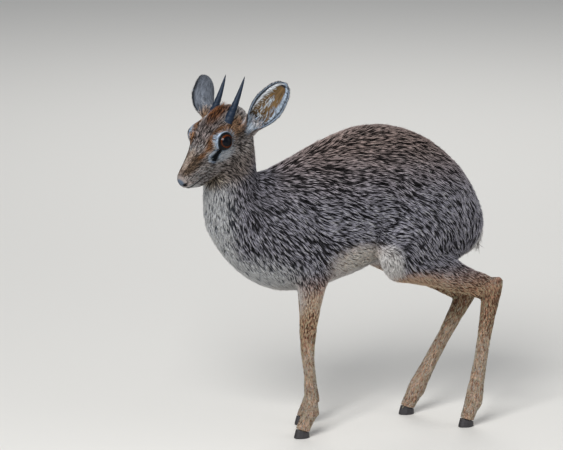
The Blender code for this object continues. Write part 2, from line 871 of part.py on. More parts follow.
# Materials, one for each piece
kinds = {
    "head": "face",
    "neck": "throat",
    "trunk": "coat",
    "tail": "coat",
    "foreleg": "leg",
    "hindleg": "leg",
    "ear": "ear",
    "horn": "horn",
    "hoof": "hoof",
    "eye": "eye",
}
for name, ob in pieces.items():
    kind = kinds[name.split("_")[0]]
    rough = 0.15 if kind == "eye" else 0.35 if kind == "horn" else 0.8
    finish(ob, material(name, COLOURS[kind], rough), kind != "hoof")

# Put the origin on the floor under the middle of the animal
low = Vector((1e9, 1e9, 1e9))
high = Vector((-1e9, -1e9, -1e9))
for ob in pieces.values():
    for v in ob.data.vertices:
        low = Vector(map(min, low, v.co))
        high = Vector(map(max, high, v.co))
shift = Vector((-(low.x + high.x) / 2.0, -(low.y + high.y) / 2.0, -low.z))
for ob in pieces.values():
    ob.data.transform(Matrix.Translation(shift))
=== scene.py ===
import math

import bmesh
import bpy
import numpy as np
from mathutils import Matrix, Vector
from mathutils.bvhtree import BVHTree
from mathutils.kdtree import KDTree


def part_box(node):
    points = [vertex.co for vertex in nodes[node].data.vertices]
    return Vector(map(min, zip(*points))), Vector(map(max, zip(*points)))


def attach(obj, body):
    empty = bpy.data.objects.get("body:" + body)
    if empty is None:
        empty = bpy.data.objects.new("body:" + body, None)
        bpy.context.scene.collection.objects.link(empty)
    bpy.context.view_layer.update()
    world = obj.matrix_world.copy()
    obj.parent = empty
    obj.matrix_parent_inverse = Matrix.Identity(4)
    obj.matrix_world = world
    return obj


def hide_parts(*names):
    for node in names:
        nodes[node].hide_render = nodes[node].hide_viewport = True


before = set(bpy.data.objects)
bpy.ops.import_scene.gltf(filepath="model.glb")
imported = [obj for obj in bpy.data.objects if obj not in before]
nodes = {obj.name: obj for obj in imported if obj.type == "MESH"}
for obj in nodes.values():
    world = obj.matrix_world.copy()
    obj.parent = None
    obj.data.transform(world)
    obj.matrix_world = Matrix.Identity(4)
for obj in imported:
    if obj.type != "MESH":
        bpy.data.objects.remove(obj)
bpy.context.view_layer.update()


# Skin. The hide of the whole animal in one piece, from nose to coronets, with the ears
# grown on, openings for eyes and nostrils and a groove for the closed mouth. It lies under
# the solids by the depth of the coat.
FLESH = ("head", "neck", "trunk", "tail", "foreleg_left", "foreleg_right", "hindleg_left", "hindleg_right")
SKIN_GRAIN = 0.0011
SEAM = 0.00035
WELD = 0.000002
LID_BALL = 0.0141
BODY_AT = np.array([-0.0580, -0.0059, 0.0])


def read(items, field, width, kind=np.float32):
    """One field of all items of a mesh, as the rows of an array."""
    out = np.empty(len(items) * width, kind)
    items.foreach_get(field, out)
    return out.reshape(-1, width)


def arrays(mesh):
    """A mesh's points, normals and triangles."""
    mesh.calc_loop_triangles()
    points = read(mesh.vertices, "co", 3).astype(float)
    normals = read(mesh.vertex_normals, "vector", 3).astype(float)
    return points, normals, read(mesh.loop_triangles, "vertices", 3, np.int32)


def placed(name, data):
    """A new object for a mesh, lamp or camera, put into the scene."""
    ob = bpy.data.objects.new(name, data)
    bpy.context.collection.objects.link(ob)
    return ob


def from_arrays(name, points, faces):
    """An object made of smooth-shaded triangles."""
    mesh = bpy.data.meshes.new(name)
    mesh.vertices.add(len(points))
    mesh.vertices.foreach_set("co", np.asarray(points, np.float32).ravel())
    mesh.loops.add(faces.size)
    mesh.loops.foreach_set("vertex_index", np.asarray(faces, np.int32).ravel())
    mesh.polygons.add(len(faces))
    mesh.polygons.foreach_set("loop_start", np.arange(0, faces.size, 3, dtype=np.int32))
    mesh.polygons.foreach_set("use_smooth", np.ones(len(faces), bool))
    mesh.update(calc_edges=True)
    return placed(name, mesh)


def from_bmesh(name, bm):
    """An object made from a bmesh, which is used up."""
    mesh = bpy.data.meshes.new(name)
    bm.to_mesh(mesh)
    bm.free()
    return placed(name, mesh)


def modified(ob, kind, **settings):
    """Adds one modifier and makes its result the object's own mesh."""
    mod = ob.modifiers.new(kind.lower(), kind)
    for key, value in settings.items():
        setattr(mod, key, value)
    depsgraph = bpy.context.evaluated_depsgraph_get()
    mesh = bpy.data.meshes.new_from_object(ob.evaluated_get(depsgraph))
    ob.modifiers.clear()
    ob.data = mesh


def weigh(ob, name, weights):
    """A vertex group from an array of weights, in steps of a fortieth."""
    group = ob.vertex_groups.new(name=name)
    steps = np.rint(np.clip(weights, 0, 1) * 40).astype(int)
    for step in np.unique(steps):
        group.add(np.nonzero(steps == step)[0].tolist(), step / 40.0, "REPLACE")


def unit(v):
    return v / np.maximum(np.linalg.norm(v, axis=-1, keepdims=True), 1e-12)


def ramp(x, low, high):
    """0 below low, 1 above high, smooth between."""
    t = np.clip((x - low) / (high - low), 0, 1)
    return t * t * (3 - 2 * t)


def egg_reach(points, middle, sizes):
    """How far out points lie in an egg: 0 in its middle, 1 on its surface."""
    return np.linalg.norm((points - middle) / sizes, axis=1)


# The head's own axes: turned 30 degrees to the left, looking down by 28 and tipped by 5
yaw, pitch, roll = (math.radians(a) for a in (30.3, 27.7, 4.8))
ahead = np.array([-math.cos(pitch) * math.cos(yaw), -math.cos(pitch) * math.sin(yaw), -math.sin(pitch)])
level = np.array([math.sin(yaw), -math.cos(yaw), 0.0])
above = np.cross(ahead, level)
leftward = level * math.cos(roll) - above * math.sin(roll)
upward = level * math.sin(roll) + above * math.cos(roll)
HEAD_AXES = np.array([ahead, leftward, upward])
EYE_AT = np.array([0.0034, 0.0222, 0.0073])
eye_middle = {}
for side in ("left", "right"):
    low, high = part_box("eye_" + side)
    eye_middle[side] = np.array((low + high) / 2)
HEAD_AT = (eye_middle["left"] + eye_middle["right"]) / 2 - EYE_AT[[0, 2]] @ HEAD_AXES[[0, 2]]


def on_head(f, s, u):
    """The point that lies f ahead, s to the left and u up in the head's own axes."""
    return HEAD_AT + np.array([f, s, u]) @ HEAD_AXES


def head_mm(*place):
    """The same for a place given in mm."""
    return on_head(*(v / 1000 for v in place))


def body_mm(*place):
    """A place of the body, given in mm from the floor under it."""
    return np.array(place) / 1000 + BODY_AT


def sides_of(across):
    """The sides that a place stands for: both, or one when it lies on the middle."""
    return (-1, 1) if across else (1,)


def in_head(points):
    """Points in the head's own axes: ahead, left and up."""
    return (points - HEAD_AT) @ HEAD_AXES.T


# Leg joints in metres, from the top of the limb to the coronet
LEGS = {
    "foreleg_left": ((0.026, -0.032, 0.262), (0.0145, -0.034, 0.1235),
                     (0.0203, -0.034, 0.0380), (0.0080, -0.034, 0.0100)),
    "foreleg_right": ((0.042, 0.032, 0.262), (0.0360, 0.034, 0.1215),
                      (0.0435, 0.034, 0.0375), (0.0312, 0.034, 0.0100)),
    "hindleg_left": ((0.142, -0.049, 0.242), (0.2700, -0.047, 0.1860),
                     (0.2460, -0.045, 0.0370), (0.2360, -0.045, 0.0100)),
    "hindleg_right": ((0.150, 0.049, 0.235), (0.2665, 0.043, 0.1630),
                      (0.1955, 0.043, 0.0365), (0.1820, 0.043, 0.0100)),
}

# How the coat lies. Each guide: a place in mm, the way the hair points there, then the
# length, depth and width of a tuft in mm. Those off the middle stand for both sides.
BODY_GUIDES = (
    (-50, 0, 388, 0.2, 0, -1, 10, 2.8, 1.1),
    (-42, 0, 358, 0.6, 0, -0.8, 11, 3.2, 1.2),
    (-10, 0, 372, 1, 0, 0.1, 12, 3.4, 1.3),
    (50, 0, 402, 1, 0, 0.1, 13, 3.6, 1.4),
    (110, 0, 415, 1, 0, 0, 13, 3.6, 1.4),
    (170, 0, 402, 1, 0, -0.4, 13, 3.6, 1.4),
    (225, 0, 365, 0.7, 0, -0.9, 13, 3.6, 1.4),
    (262, 0, 300, 0.3, 0, -1, 13, 3.8, 1.4),
    (-20, 45, 340, 0.8, 0, -0.5, 12, 3.4, 1.3),
    (50, 45, 370, 1, 0, -0.25, 13, 3.6, 1.4),
    (110, 45, 382, 1, 0, -0.2, 13, 3.6, 1.4),
    (180, 42, 368, 0.85, 0, -0.5, 13, 3.6, 1.4),
    (0, 55, 300, 0.75, 0, -0.6, 12, 3.4, 1.3),
    (50, 56, 300, 1, 0, -0.35, 13, 3.6, 1.4),
    (100, 60, 310, 1, 0, -0.25, 13, 3.6, 1.4),
    (150, 62, 315, 0.8, 0, -0.5, 12, 3.2, 1.4),
    (0, 50, 250, 0.6, 0, -0.75, 11, 3.0, 1.3),
    (50, 50, 235, 0.9, 0, -0.45, 13, 3.6, 1.3),
    (95, 50, 250, 1, 0, -0.2, 13, 3.6, 1.3),
    (30, 0, 197, 1, 0, -0.1, 13, 4.0, 1.2),
    (80, 0, 208, 1, 0, 0.1, 14, 4.2, 1.2),
    (130, 0, 230, 1, 0, 0.2, 12, 3.8, 1.1),
    (-104, 0, 305, 0.1, 0, -1, 12, 4.0, 1.2),
    (-88, 0, 250, 0.5, 0, -0.9, 13, 4.2, 1.2),
    (-40, 0, 205, 1, 0, -0.4, 14, 4.4, 1.2),
    (0, 0, 195, 1, 0, 0, 13, 4.2, 1.2),
    (-80, 36, 300, 0.35, 0, -0.95, 12, 3.6, 1.2),
    (-52, 45, 245, 0.65, 0, -0.75, 12, 3.6, 1.2),
    (-84, 30, 350, 0.1, 0, -1, 10, 2.9, 1.1),
    (-82, 28, 385, 0.45, 0, -0.9, 9, 2.6, 1.0),
    (-108, 0, 345, 0.15, 0, -1, 11, 3.0, 1.1),
    (125, 52, 262, 1, 0, -0.1, 12, 3.4, 1.2),
    (200, 62, 330, 0.7, 0, -0.75, 12, 3.2, 1.3),
    (240, 48, 320, 0.35, 0, -1, 13, 3.6, 1.3),
    (170, 68, 262, 0.5, 0, -0.85, 11, 2.8, 1.2),
    (212, 62, 262, 0.45, 0, -0.9, 12, 3.2, 1.3),
    (250, 40, 250, 0, 0, -1, 14, 4.0, 1.3),
    (264, 18, 262, -0.1, 0, -1, 15, 4.4, 1.3),
    (126, 55, 236, 0.3, 0, -1, 11, 3.2, 1.1),
    (150, 52, 205, 0.8, 0, -0.6, 11, 3.0, 1.1),
    (190, 56, 212, 0.8, 0, -0.55, 10, 2.6, 1.1),
    (165, 20, 238, 0.5, 0, -0.8, 10, 2.8, 1.1),
    (205, 20, 232, 0.6, 0, -0.8, 10, 2.8, 1.1),
    (20, 44, 225, 0.25, 0, -1, 8, 2.0, 1.0),
)
HEAD_GUIDES = (
    (78, 0, -8, -1, 0, 0.5, 2.2, 0.5, 0.5),
    (60, 0, 4, -1, 0, 0.1, 3.6, 0.8, 0.6),
    (55, 11, -12, -1, 0.1, -0.1, 4.2, 0.9, 0.65),
    (68, 8, -21, -0.9, 0, -0.4, 2.8, 0.6, 0.5),
    (56, 0, -33, -1, 0, -0.2, 4.5, 1.0, 0.6),
    (40, 0, 13, -1, 0, 0.1, 5.0, 1.1, 0.7),
    (35, 18, -15, -1, 0.2, -0.3, 5.6, 1.2, 0.8),
    (38, 12, 6, -1, 0.25, 0.1, 5.0, 1.0, 0.7),
    (12, 0, 27, -1, 0, 0.2, 8.0, 1.8, 0.9),
    (12, 15, 23, -1, 0.1, 0.1, 7.0, 1.5, 0.85),
    (-4, 0, 32, -1, 0, 0.5, 11, 3.2, 0.9),
    (-18, 0, 37, -1, 0, 0.5, 15, 4.8, 0.9),
    (-32, 0, 34, -1, 0, 0.25, 14, 4.4, 0.9),
    (-52, 0, 22, -0.9, 0, -0.6, 9, 2.4, 0.95),
    (-24, 21, 25, -1, 0.1, 0.5, 9.5, 3.4, 0.85),
    (-38, 20, 20, -1, 0.0, 0.2, 9.5, 3.0, 0.9),
    (-16, 14, 29, -1, 0.1, 0.5, 8.5, 3.0, 0.85),
    (-10, 22, 27, -1, 0.2, 0.2, 6.5, 1.4, 0.8),
    (-17, 30, 8, -1, 0.3, -0.2, 6.5, 1.3, 0.8),
    (-6, 29, -20, -0.8, 0.1, -0.9, 8.0, 1.8, 0.95),
    (20, 19, -35, -0.9, 0.1, -0.6, 7.5, 1.7, 0.9),
    (-24, 24, -38, -0.6, 0, -1.0, 9.0, 2.3, 1.0),
    (0, 0, -45, -0.9, 0, -0.5, 9.0, 2.3, 1.0),
    (4, 28, 22, -1, 0.2, 0.3, 4.0, 0.8, 0.6),
    (4, 31, -7, -1, 0.1, -0.3, 4.6, 0.9, 0.65),
    (20, 24, 2, -0.9, 0.3, -0.4, 3.4, 0.6, 0.55),
    (-62, 0, 0, -0.5, 0, -1, 9, 2.5, 1.0),
    (-40, 33, 2, -0.6, 0.5, 0.6, 7.5, 1.2, 0.8),
    (-34, 30, -12, -0.7, 0.2, -0.8, 8.5, 1.8, 0.9),
)
guide_rows = []
for x, y, z, *rest in BODY_GUIDES:
    for side in sides_of(y):
        guide_rows.append((*body_mm(x, y * side, z), *rest))
for f, s, u, wf, ws, wu, *size in HEAD_GUIDES:
    for side in sides_of(s):
        way = np.array([wf, ws * side, wu]) @ HEAD_AXES
        guide_rows.append((*head_mm(f, s * side, u), *way, *size))
for joints in LEGS.values():
    joints = np.array(joints) + BODY_AT
    for bone, share in ((0, 0.5), (0, 0.75), (1, 0.0), (1, 0.3), (1, 0.6), (1, 0.85), (2, 0.1), (2, 0.9)):
        start, end = joints[bone], joints[bone + 1]
        at = start + (end - start) * share
        size = (5.2, 0.9, 0.8) if bone else (7.6 - 2.6 * share, 2.2 - 1.4 * share, 1.0 - 0.2 * share)
        guide_rows.append((*at, *unit(end - start), *size))
guides = np.array(guide_rows)
guides[:, 3:6] = unit(guides[:, 3:6])
guides[:, 6:] /= 1000.0
BATCH = 20000


def coat_at(points):
    """Way, length, depth and width of the coat at points, blended from the guides."""
    out = np.empty((len(points), 6))
    for start in range(0, len(points), BATCH):
        some = points[start:start + BATCH]
        gap = ((some[:, None, :] - guides[None, :, :3]) ** 2).sum(-1)
        weight = (gap + 0.006 ** 2) ** -2.2
        weight /= weight.sum(1, keepdims=True)
        out[start:start + BATCH] = weight @ guides[:, 3:]
    return unit(out[:, :3]), out[:, 3], out[:, 4], out[:, 5]


def blob(bm, at, sizes, axes=np.eye(3), fineness=3):
    """An egg-shaped closed shell added to a bmesh."""
    place = Matrix.Translation(at) @ Matrix(axes).transposed().to_4x4() @ Matrix.Diagonal((*sizes, 1.0))
    bmesh.ops.create_icosphere(bm, subdivisions=fineness, radius=1.0, matrix=place)


# The solids of the flesh grow a little so that they meet, and a ball about each eye carries
# the lids; remeshing makes one surface of it all
body = bmesh.new()
for name in FLESH:
    piece = bmesh.new()
    piece.from_mesh(nodes[name].data)
    bmesh.ops.remove_doubles(piece, verts=piece.verts, dist=WELD)
    piece.normal_update()
    for v, push in [(v, v.normal * SEAM) for v in piece.verts]:
        v.co += push
    grown = bpy.data.meshes.new("grown")
    piece.to_mesh(grown)
    piece.free()
    body.from_mesh(grown)
for side in eye_middle:
    blob(body, eye_middle[side], (LID_BALL,) * 3, fineness=4)
skin = from_bmesh("skin", body)
modified(skin, "REMESH", mode="VOXEL", voxel_size=SKIN_GRAIN)

# The joins are smoothed out, much on the body and little on the face
points, normals, faces = arrays(skin.data)
near_face = egg_reach(in_head(points), [0.015, 0, -0.005], [0.065, 0.045, 0.05])
face_share = 1 - ramp(near_face, 0.9, 1.15)
broad = ramp(points[:, 2], 0.17, 0.235) * (1 - face_share)
weigh(skin, "broad", np.maximum(broad, 0.10))
modified(skin, "SMOOTH", factor=0.5, iterations=60, vertex_group="broad")
weigh(skin, "all", np.where(face_share > 0.5, 0.8, 0.7))
modified(skin, "SMOOTH", factor=0.5, iterations=6, vertex_group="all")

# The hide sinks by the depth of the coat that grows on it
points, normals, faces = arrays(skin.data)
_, _, depth, _ = coat_at(points)
points -= normals * (depth + SEAM)[:, None]


def sculpt(at, sizes, rise, axes=np.eye(3)):
    """Pushes the hide out by rise, fading to nothing at the edge of an egg; sizes in mm."""
    r = np.linalg.norm((points - at) @ axes.T / (np.array(sizes) / 1000), axis=1)
    push = np.where(r < 1, (1 - r * r) ** 2, 0.0) * (rise / 1000)
    points[:] += normals * push[:, None]


# Folds and bones of the head, in mm: place, half sizes and rise
HEAD_FORMS = (
    ((25, 21, -3.5), (8.5, 9, 6.5), -1.5),
    ((24, 21, -3.5), (13, 10, 10.5), 0.8),
    ((-6, 26, -10), (22, 10, 7), 1.0),
    ((38, 13, -3), (20, 7, 6), -0.8),
    ((-26, 15.5, 25), (10, 10, 9), 0.8),
    ((66, 8.5, -20), (14, 8, 5), 0.7),
    ((48, 12, -24.5), (6, 7, 3.2), -1.0),
    ((77.5, 0, -17.8), (5, 2.2, 6), -0.9),
    ((14, 20, -30), (22, 8, 8), 0.6),
)
for (f, s, u), sizes, rise in HEAD_FORMS:
    for side in sides_of(s):
        sculpt(head_mm(f, s * side, u), sizes, rise, HEAD_AXES)

# The mouth line's height along the muzzle, from its corner to under the nose
MOUTH = ((0.0478, 0.060, 0.070, 0.076), (-0.0237, -0.0246, -0.0250, -0.0236))
for f in np.linspace(0.050, 0.0760, 15):
    for side in (-1, 1):
        level = np.interp(f, *MOUTH)
        across = np.interp(f, (0.0478, 0.066, 0.0745), (0.0117, 0.0095, 0.006)) * side
        sculpt(on_head(f, across, level), (3, 5, 2.4), -1.1, HEAD_AXES)

# Folds of the body, also in mm: the crease before each haunch and the hollow behind each elbow
CREASE, HOLLOW = (8, 26, 18), (13, 26, 20)
BODY_FOLDS = (
    (106, 56, 248, CREASE, -3.4), (107, 56, 266, CREASE, -3.4), (109, 56, 286, CREASE, -2.8),
    (112, 56, 308, CREASE, -2.0), (115, 56, 332, CREASE, -1.2),
    (62, 52, 232, HOLLOW, -1.6), (55, 52, 216, HOLLOW, -1.8),
)
for side in (-1, 1):
    for x, y, z, sizes, rise in BODY_FOLDS:
        sculpt(body_mm(x, y * side, z), sizes, rise)

# The groove between bone and tendon on the hind shanks
for leg in ("hindleg_left", "hindleg_right"):
    top, foot = np.array(LEGS[leg][1:3]) + BODY_AT
    along = unit(foot - top)
    back = np.cross(along, [0, 1, 0])
    back = back * (1 if back[0] > 0 else -1)
    for side in (-1, 1):
        at = top + (foot - top) * 0.5 + back * 0.0030 + np.array([0, 0.009 * side, 0])
        axes = np.array([along, back, [0.0, 1.0, 0.0]])
        sculpt(at, (60, 2.8, 6), -0.9, axes)
skin.data.vertices.foreach_set("co", points.astype(np.float32).ravel())
skin.data.update()


def carve(tool, operation="DIFFERENCE"):
    """Cuts the tool out of the skin, or joins it on, and uses it up."""
    modified(skin, "BOOLEAN", operation=operation, solver="MANIFOLD", object=tool)
    bpy.data.objects.remove(tool)


# The lids open on an almond-shaped cut that slopes down to the inner corner of the eye
EYE_RADIUS = 0.01245
LID_POINTS = 40
LID_TILT = math.radians(-20)
SIDES = {"left": 1, "right": -1}
lid_axes = {}
for side, sign in SIDES.items():
    out = unit(np.array([0.14, 0.94 * sign, 0.31])) @ HEAD_AXES
    fore = unit(ahead - out * (ahead @ out))
    rise = np.cross(out, fore) * sign
    lid_axes[side] = np.array([fore * math.cos(LID_TILT) + rise * math.sin(LID_TILT),
                               rise * math.cos(LID_TILT) - fore * math.sin(LID_TILT), out])
    cut = bmesh.new()
    rows = []
    for reach in (0.35, 0.9, 1.35, 2.1):
        row = []
        for k in range(LID_POINTS):
            angle = 2 * math.pi * k / LID_POINTS
            x = (0.0100 if math.cos(angle) > 0 else 0.0112) * math.cos(angle)
            x += 0.0020 * max(math.cos(angle), 0) ** 8
            y = 0.0090 * math.sin(angle) * (1 - 0.12 * math.cos(angle))
            spot = np.array([x, y, 0.0088]) * reach
            row.append(cut.verts.new(eye_middle[side] + spot @ lid_axes[side]))
        rows.append(row)
    for low, high in zip(rows, rows[1:]):
        for k in range(LID_POINTS):
            j = (k + 1) % LID_POINTS
            cut.faces.new((low[k], low[j], high[j], high[k]))
    cut.faces.new(rows[0])
    cut.faces.new(rows[-1])
    bmesh.ops.triangulate(cut, faces=cut.faces)
    bmesh.ops.recalc_face_normals(cut, faces=cut.faces)
    carve(from_bmesh("opening", cut))
    ball = bmesh.new()
    blob(ball, eye_middle[side], (EYE_RADIUS + 0.00005,) * 3, fineness=5)
    carve(from_bmesh("socket", ball))

# Comma-shaped nostrils: a round front and a tail that runs back and up, in mm
for side in (-1, 1):
    for f, s, u, *sizes in ((76.0, 6.0, -16.8, 5.0, 2.0, 1.9), (73.5, 8.0, -14.9, 4.5, 2.3, 1.2)):
        hole = bmesh.new()
        blob(hole, head_mm(f, s * side, u), [v / 1000 for v in sizes], HEAD_AXES)
        carve(from_bmesh("nostril", hole))

# Each ear is a leaf-shaped cup. A row holds a share of its length, its half width there and
# half the angle that it curls through; an ear has a root, a direction and a way it opens.
EAR_LENGTH = 0.0780
EAR_NAP = 0.0010
EAR_ROWS = np.array([
    (0.00, 0.0090, 150), (0.12, 0.0106, 130), (0.25, 0.0150, 102), (0.40, 0.0190, 76), (0.55, 0.0205, 62),
    (0.70, 0.0186, 54), (0.83, 0.0151, 50), (0.93, 0.0100, 46), (1.00, 0.0028, 45)])
EARS = {
    "left": ((-0.0387, 0.0330, 0.0006), (-0.593, 0.523, 0.610), (0.54, 0.65, 0.54)),
    "right": ((-0.0354, -0.0265, 0.0056), (-0.685, -0.735, 0.12), (0.612, -0.645, -0.458)),
}


def ear_rows(t):
    """Half width and fold at shares t of the ear, along a smooth curve."""
    knots = np.interp(t, EAR_ROWS[:, 0], np.arange(len(EAR_ROWS)))
    i = np.clip(knots.astype(int), 0, len(EAR_ROWS) - 2)
    f = (knots - i)[:, None]
    a, b = EAR_ROWS[np.maximum(i - 1, 0), 1:], EAR_ROWS[i, 1:]
    c, d = EAR_ROWS[i + 1, 1:], EAR_ROWS[np.minimum(i + 2, len(EAR_ROWS) - 1), 1:]
    rows = b + 0.5 * f * (c - a + f * (2 * a - 5 * b + 4 * c - d + f * (3 * b - a - 3 * c + d)))
    return rows[:, 0] - EAR_NAP * np.clip(t * 4, 0, 1) * np.clip(rows[:, 0] / 0.006, 0, 1), rows[:, 1]


def ear_point(side, t, a):
    """A point of the ear's middle layer and its inward normal; a runs from -1 to 1 across."""
    root, direction, opening = EARS[side]
    along = unit(np.array(direction)) @ HEAD_AXES
    face = np.array(opening) @ HEAD_AXES
    face = unit(face - along * (face @ along))
    across = np.cross(along, face)

    def spot(t, a):
        half, fold = ear_rows(t)
        spread = np.radians(fold)
        radius = half / np.sin(np.minimum(spread, math.pi / 2))
        bend = 0.010 * np.sin(math.pi * t) ** 2 - 0.004 * t + radius * 0.45
        angle = spread * a
        height = bend - radius * np.cos(angle)
        return (on_head(*root) + along * (EAR_LENGTH * t)[:, None] + face * height[:, None]
                + across * (radius * np.sin(angle))[:, None])

    here = spot(t, a)
    step_t = spot(np.minimum(t + 0.01, 1.01), a) - spot(t - 0.01, a)
    step_a = spot(t, a + 0.01) - spot(t, a - 0.01)
    inward = unit(np.cross(step_t, step_a))
    inward *= np.sign((inward * face).sum(1).mean())
    return here, inward, unit(step_t), unit(step_a)


def ear_grid(start, along, across):
    """Evenly spaced places on an ear, from a share of its length to the tip."""
    t, a = np.meshgrid(np.linspace(start, 1, along), np.linspace(-1, 1, across), indexing="ij")
    return t.ravel(), a.ravel()


def turn_out(ob):
    """Turns the faces of a closed mesh outward."""
    bm = bmesh.new()
    bm.from_mesh(ob.data)
    bmesh.ops.recalc_face_normals(bm, faces=bm.faces)
    bm.to_mesh(ob.data)
    bm.free()


EAR_ALONG, EAR_ACROSS = 70, 44
for side in EARS:
    t, a = ear_grid(-0.10, EAR_ALONG, EAR_ACROSS)
    here, inward, _, _ = ear_point(side, t, a)
    thick = 0.00055 + 0.0006 * (1 - t) + 0.0003 * (1 - np.abs(a))
    thin = np.clip(np.minimum((1 - np.abs(a)) / 0.09, (1 - t) / 0.05), 0, 1) ** 0.5
    thick = thick * (0.35 + 0.65 * thin)
    outer = here - inward * thick[:, None]
    inner = here + inward * thick[:, None]
    grid = np.arange(EAR_ALONG * EAR_ACROSS).reshape(EAR_ALONG, EAR_ACROSS)
    quads = []
    n = grid.size
    for layer, flip in ((grid, False), (grid + n, True)):
        q = np.stack([layer[:-1, :-1], layer[:-1, 1:], layer[1:, 1:], layer[1:, :-1]], -1).reshape(-1, 4)
        quads.append(q[:, ::-1] if flip else q)
    rim = np.concatenate([grid[0, :-1], grid[:-1, -1], grid[-1, :0:-1], grid[:0:-1, 0]])
    turn = np.roll(rim, -1)
    quads.append(np.stack([turn, rim, rim + n, turn + n], -1))
    quads = np.concatenate(quads)
    tris = np.concatenate([quads[:, [0, 1, 2]], quads[:, [0, 2, 3]]])
    shell = from_arrays("ear_shell", np.concatenate([outer, inner]), tris)
    turn_out(shell)
    carve(shell, "UNION")

# Round the roots of the ears, then thin the mesh away from the face
points, normals, faces = arrays(skin.data)
rounding = np.zeros(len(points))
for side in EARS:
    gap = np.linalg.norm(points - on_head(*EARS[side][0]), axis=1)
    rounding = np.maximum(rounding, 1 - ramp(gap, 0.014, 0.019))
skin.vertex_groups.clear()
weigh(skin, "round", rounding)
modified(skin, "SMOOTH", factor=0.5, iterations=16, vertex_group="round")
points, normals, faces = arrays(skin.data)
face_share = 1 - ramp(egg_reach(in_head(points), [0.015, 0, 0], [0.066, 0.045, 0.05]), 0.9, 1.3)
thin_share = np.clip(1 - 0.95 * face_share, 0.05, 1)
skin.vertex_groups.clear()
weigh(skin, "thin", thin_share)
SKIN_TRIANGLES = 150000
modified(skin, "DECIMATE", decimate_type="COLLAPSE", ratio=min(1.0, SKIN_TRIANGLES / len(faces)),
         vertex_group="thin", vertex_group_factor=1.0, use_collapse_triangulate=True)
skin.vertex_groups.clear()

# Markings. Dik-dik hair is banded dark and pale, so every part of the hide has a pale and
# a dark hair colour; skin and coat take theirs from the same places. Where the coat is
# grizzled the dark colour is near black: it stands for the dark hairs and is also painted
# shade for the gaps between locks.
FUR = {
    "grizzle": ("#bebcc9", "#0c0b0f"),
    "saddle": ("#b8a39c", "#0f0b0b"),
    "throat": ("#ffffff", "#4a525e"),
    "white": ("#eceae8", "#a09a97"),
    "flank": ("#fff2e4", "#a08f80"),
    "ochre": ("#ffc8a4", "#533426"),
    "shank": ("#ffe0c8", "#8d6349"),
    "rust": ("#a46c46", "#1a0f0a"),
    "tan": ("#d0a684", "#442d20"),
    "cheek": ("#e6d8d2", "#15100f"),
    "muzzle": ("#937b66", "#0f0b09"),
    "brow": ("#b9aaa6", "#120e0d"),
    "buff": ("#d9b79e", "#7d5f4c"),
    "temple": ("#a18d7d", "#17110e"),
    "nape": ("#a19ea8", "#0a090c"),
    # painted shade: a darker copy of the cheek's grizzle for the side of the jaw
    "shade": ("#a89c96", "#0e0b0b"),
    # painted highlight: the tan of the nose painted paler along its crest, where the light catches the edge
    "bridge": ("#cdb9ab", "#5d4c42"),
    "stripe": ("#a67a57", "#3a2517"),
    "jaw": ("#bcab98", "#2a231e"),
    "under": ("#f2f7fd", "#7c8490"),
    # painted sheen: the nose pad painted pale blue-grey for the shine of its wet skin, over its own dark
    # slate
    "nose": ("#8796ab", "#333e4b"),
    "slate": ("#12161c", "#06080b"),
    "ring": ("#c9d8e8", "#6d7f96"),
    "ear": ("#9299a5", "#11151b"),
    "ear_margin": ("#b7c6d7", "#586678"),
    "ear_skin": ("#846944", "#31251a"),
    "ear_rim": ("#1a222d", "#0b0e13"),
}

# Areas in mm, each an egg with a soft edge: middle, half sizes, softness. Those off the
# middle stand for both sides, and a later one lies over an earlier one.
SADDLE = ((110, 0, 440), (240, 80, 105), 0.5)
BODY_AREAS = (
    ("nape", (-52, 16, 352), (26, 34, 58), 0.5),
    ("throat", (-112, 0, 285), (32, 44, 115), 0.45),
    ("throat", (-62, 0, 208), (72, 70, 46), 0.45),
    ("flank", (86, 52, 233), (42, 30, 27), 0.45),
    ("buff", (150, 60, 206), (44, 24, 17), 0.5),
    ("white", (118, 60, 236), (18, 22, 20), 0.5),
    ("white", (80, 0, 190), (100, 40, 34), 0.5),
    ("white", (-22, 0, 190), (56, 35, 22), 0.5),
    ("white", (165, 0, 215), (60, 36, 52), 0.5),
    ("white", (258, 0, 235), (30, 22, 50), 0.4),
)
HEAD_AREAS = (
    ("cheek", (0, 0, -4), (95, 52, 52), 0.25),
    ("temple", (-14, 26, 8), (26, 14, 10), 0.5),
    ("muzzle", (54, 6, 1), (26, 8, 9), 0.4),
    # painted highlight along the crest of the nose
    ("bridge", (56, 0, 7), (25, 4.2, 9), 0.4),
    ("brow", (14, 0, 26), (30, 20, 14), 0.4),
    ("rust", (-22, 0, 36), (32, 11, 16), 0.35),
    ("stripe", (-10, 25, 18), (12, 7, 4), 0.5),
    ("stripe", (1, 21, 24), (10, 6, 4), 0.5),
    ("stripe", (14, 19, 21), (9, 6, 4), 0.5),
    ("stripe", (22, 16, 15), (7, 6, 5), 0.5),
    ("stripe", (29, 16, 9), (9, 5, 4), 0.5),
    ("stripe", (40, 12, 5), (8, 4, 3.0), 0.5),
    ("tan", (-22, 27, 14), (14, 12, 9), 0.6),
    # painted shade under the cheek, on the side of the jaw
    ("shade", (0, 22, -38), (28, 18, 15), 0.5),
    ("jaw", (38, 0, -46), (28, 22, 11), 0.5),
    ("ring", (-38, 31, 1), (9, 9, 12), 0.4),
    ("under", (12, 28, -10), (15, 12, 6.5), 0.5),
    ("white", (66, 5, -30), (10, 8, 4), 0.5),
    ("white", (70, 7, -23), (8, 5.5, 2.6), 0.5),
    # the nose pad, painted paler for the sheen of its wet skin
    ("nose", (81, 0, -13.3), (6.5, 8.4, 8.0), 0.2),
    ("slate", (76.5, 6, -16.6), (5, 3.4, 3.2), 0.25),
)


